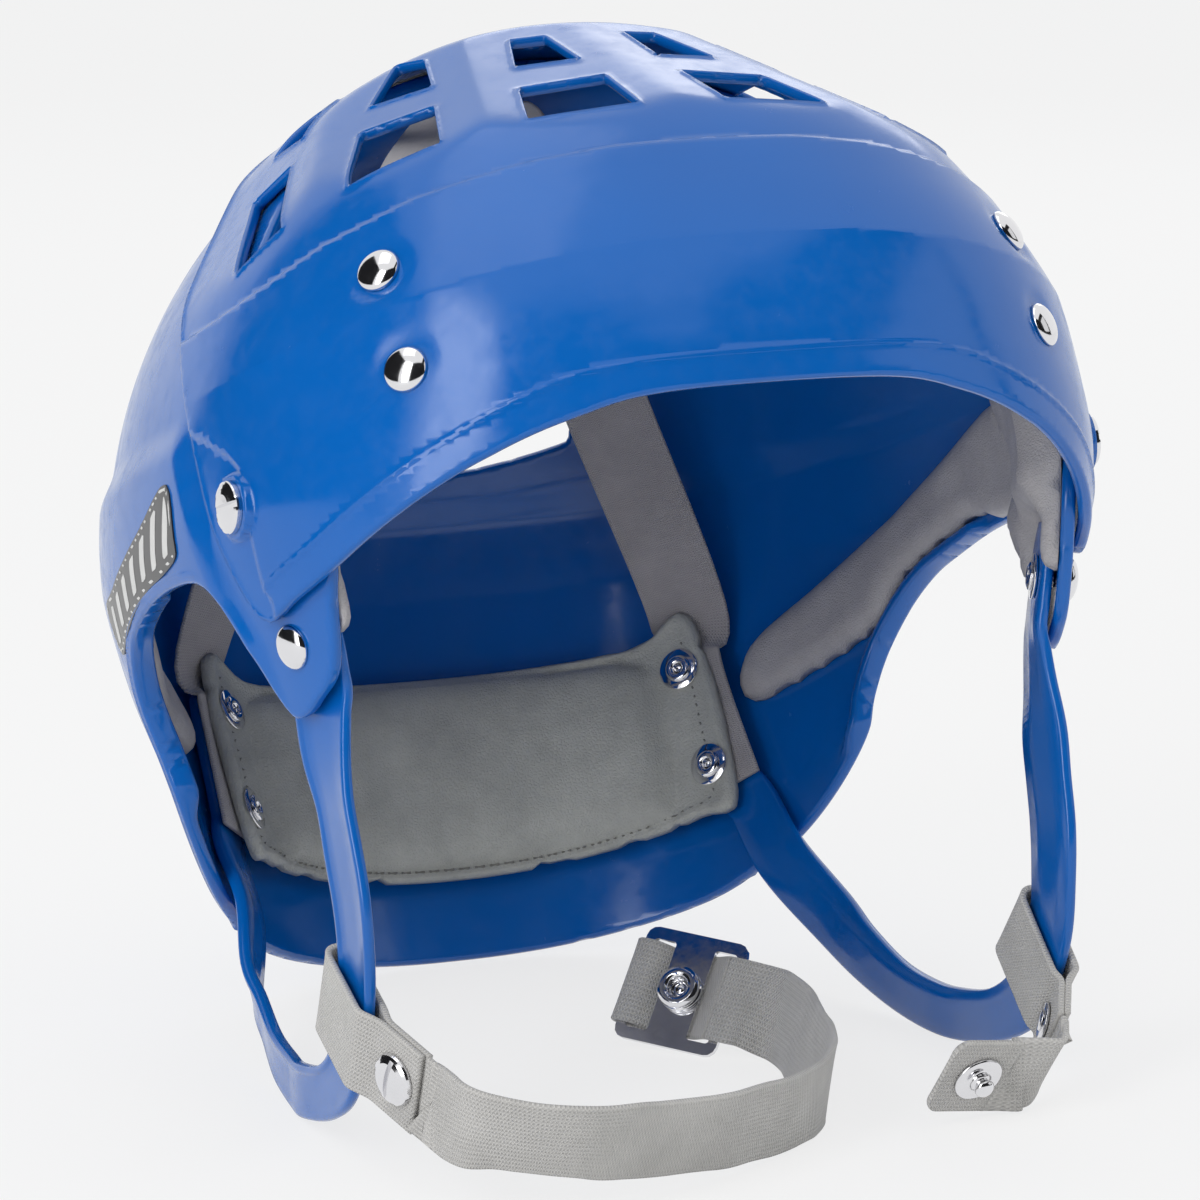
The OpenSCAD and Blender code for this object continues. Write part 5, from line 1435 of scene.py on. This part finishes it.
wall = [(0, 0), (0, 0.7), (-0.5, 0.9), (-0.5, 1.4), (-0.05, 1.7), (-0.1, 2.5), (-0.9, SOCKET_H)]
pocket_floor, bore = SOCKET_FLOOR - POCKET_D, SOCKET_SHANK + SEAT
turned("snap_socket_ring", soften([(bore, 0)] + [(SOCKET_R + x, z) for x, z in wall]
                                  + [(3.2, SOCKET_H), (2.6, SOCKET_H - 0.2), (2.35, SOCKET_H - 0.5),
                                     (SNAP_D / 2 + 0.1, SOCKET_FLOOR), (POCKET_R, SOCKET_FLOOR),
                                     (POCKET_R, pocket_floor), (bore, pocket_floor), (bore, 0)], 0.12),
       [socket_frame], "slider_set", "snap_socket")
top, low = SLIDER_T / 2 + 2 * SEAT + pocket_floor, -SLIDER_T / 2 - STRAP_T - 0.1 - SEAT
clinch = [(0.0, 0.5), (0.7, 0.45), (0.9, 0.25), (1.3, 0.3), (1.75, 0.45), (1.9, 0.2), (1.9, 0), (SOCKET_SHANK, 0)]
turned("snap_socket_rivet", [(x, top + z) for x, z in clinch] + [(SOCKET_SHANK, low), (2.9, low), (2.5, low - 0.6),
                                                                 (0.0, low - 0.6)],
       [(slider_axes, slider_at)], "slider_set", "socket_rivet")
print("turned pieces done")

# %% [markdown]
# The slotted screws, the slotted button, the nuts and the slider are right as solids. They stay, and get a
# fine bevel, so that their edges catch the light, and the chrome. Their own corners are not moved.

# %% Carried hardware
SHARP = radians(28)
for name, width in (("left_size_screw", 0.00018), ("right_size_screw", 0.00018), ("left_size_nut", 0.0002),
                    ("right_size_nut", 0.0002), ("chin_button", 0.00018), ("slider", 0.0003)):
    solid = frame["nodes"][name]
    solid.data.materials.clear()
    solid.data.materials.append(CHROME)
    edge = solid.modifiers.new("edge", "BEVEL")
    edge.width, edge.segments, edge.limit_method, edge.angle_limit = width, 3, "ANGLE", SHARP
    solid.data.polygons.foreach_set("use_smooth", [True] * len(solid.data.polygons))
    print(name, len(solid.data.polygons), "faces")

# %% [markdown]
# The dark label on each side of the belt carries lettering in the photograph. Here it is a plain dark film
# with a pale border line and slanted bars, which stand for nothing.

# %% Labels
LABEL_SIDE = curve([(-13.4, 12.5), (-16.5, 0), (-15.2, -3.6), (-6, -5.6), (8, -7.1), (21.5, -9.6), (36, -13),
                    (49.5, -15.6), (53.2, -4.7), (37.6, -2.2), (7.7, 5.8)], 4, True)
BAR_PITCH, BAR_HALF, BAR_LEAN, BORDER_AT, BORDER_HALF, BAR_INSET = 9.5, 1.9, 0.35, 0.9, 0.35, 2.4


def label_distance(p, side):
    return np.where(at_side(p, side), signed_distance(p[:, 1:], LABEL_SIDE), -50.0)


def bar_distance(p, side):
    """Slanted bars inside the label's border."""
    lean = p[:, 1] + BAR_LEAN * (p[:, 2] + 0.24 * p[:, 1])
    bars = np.abs((lean + 7) % BAR_PITCH - BAR_PITCH / 2) - BAR_HALF
    inner = label_distance(p, side)
    border = BORDER_HALF - np.abs(inner - BORDER_AT)
    return np.maximum(np.minimum(-bars, inner - BAR_INSET), border)


def film(name, side, distance, low, high, material, step):
    net = lay_net(True, False, lambda p: distance(p, side), low=-30.0, step=step)
    cut(net, lambda co: distance(on_net(co, True, False), side), drop=True, snap=0.25)
    points, faces = solid_from_net(net, True, False, lambda p, co: np.full(len(p), high),
                                   lambda p, co: np.full(len(p), low))
    return add_piece(name, settle(points), faces, material, "rear", smooth=False)


for side, word in SIDES:
    plate = film(word + "_label_plate", side, label_distance, 0.05, 0.4, LABEL, step=1.6)
    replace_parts(plate, word + "_label")
    film(word + "_label_bars", side, bar_distance, 0.41, 0.47, STRIPE, step=0.9)
print("labels done")
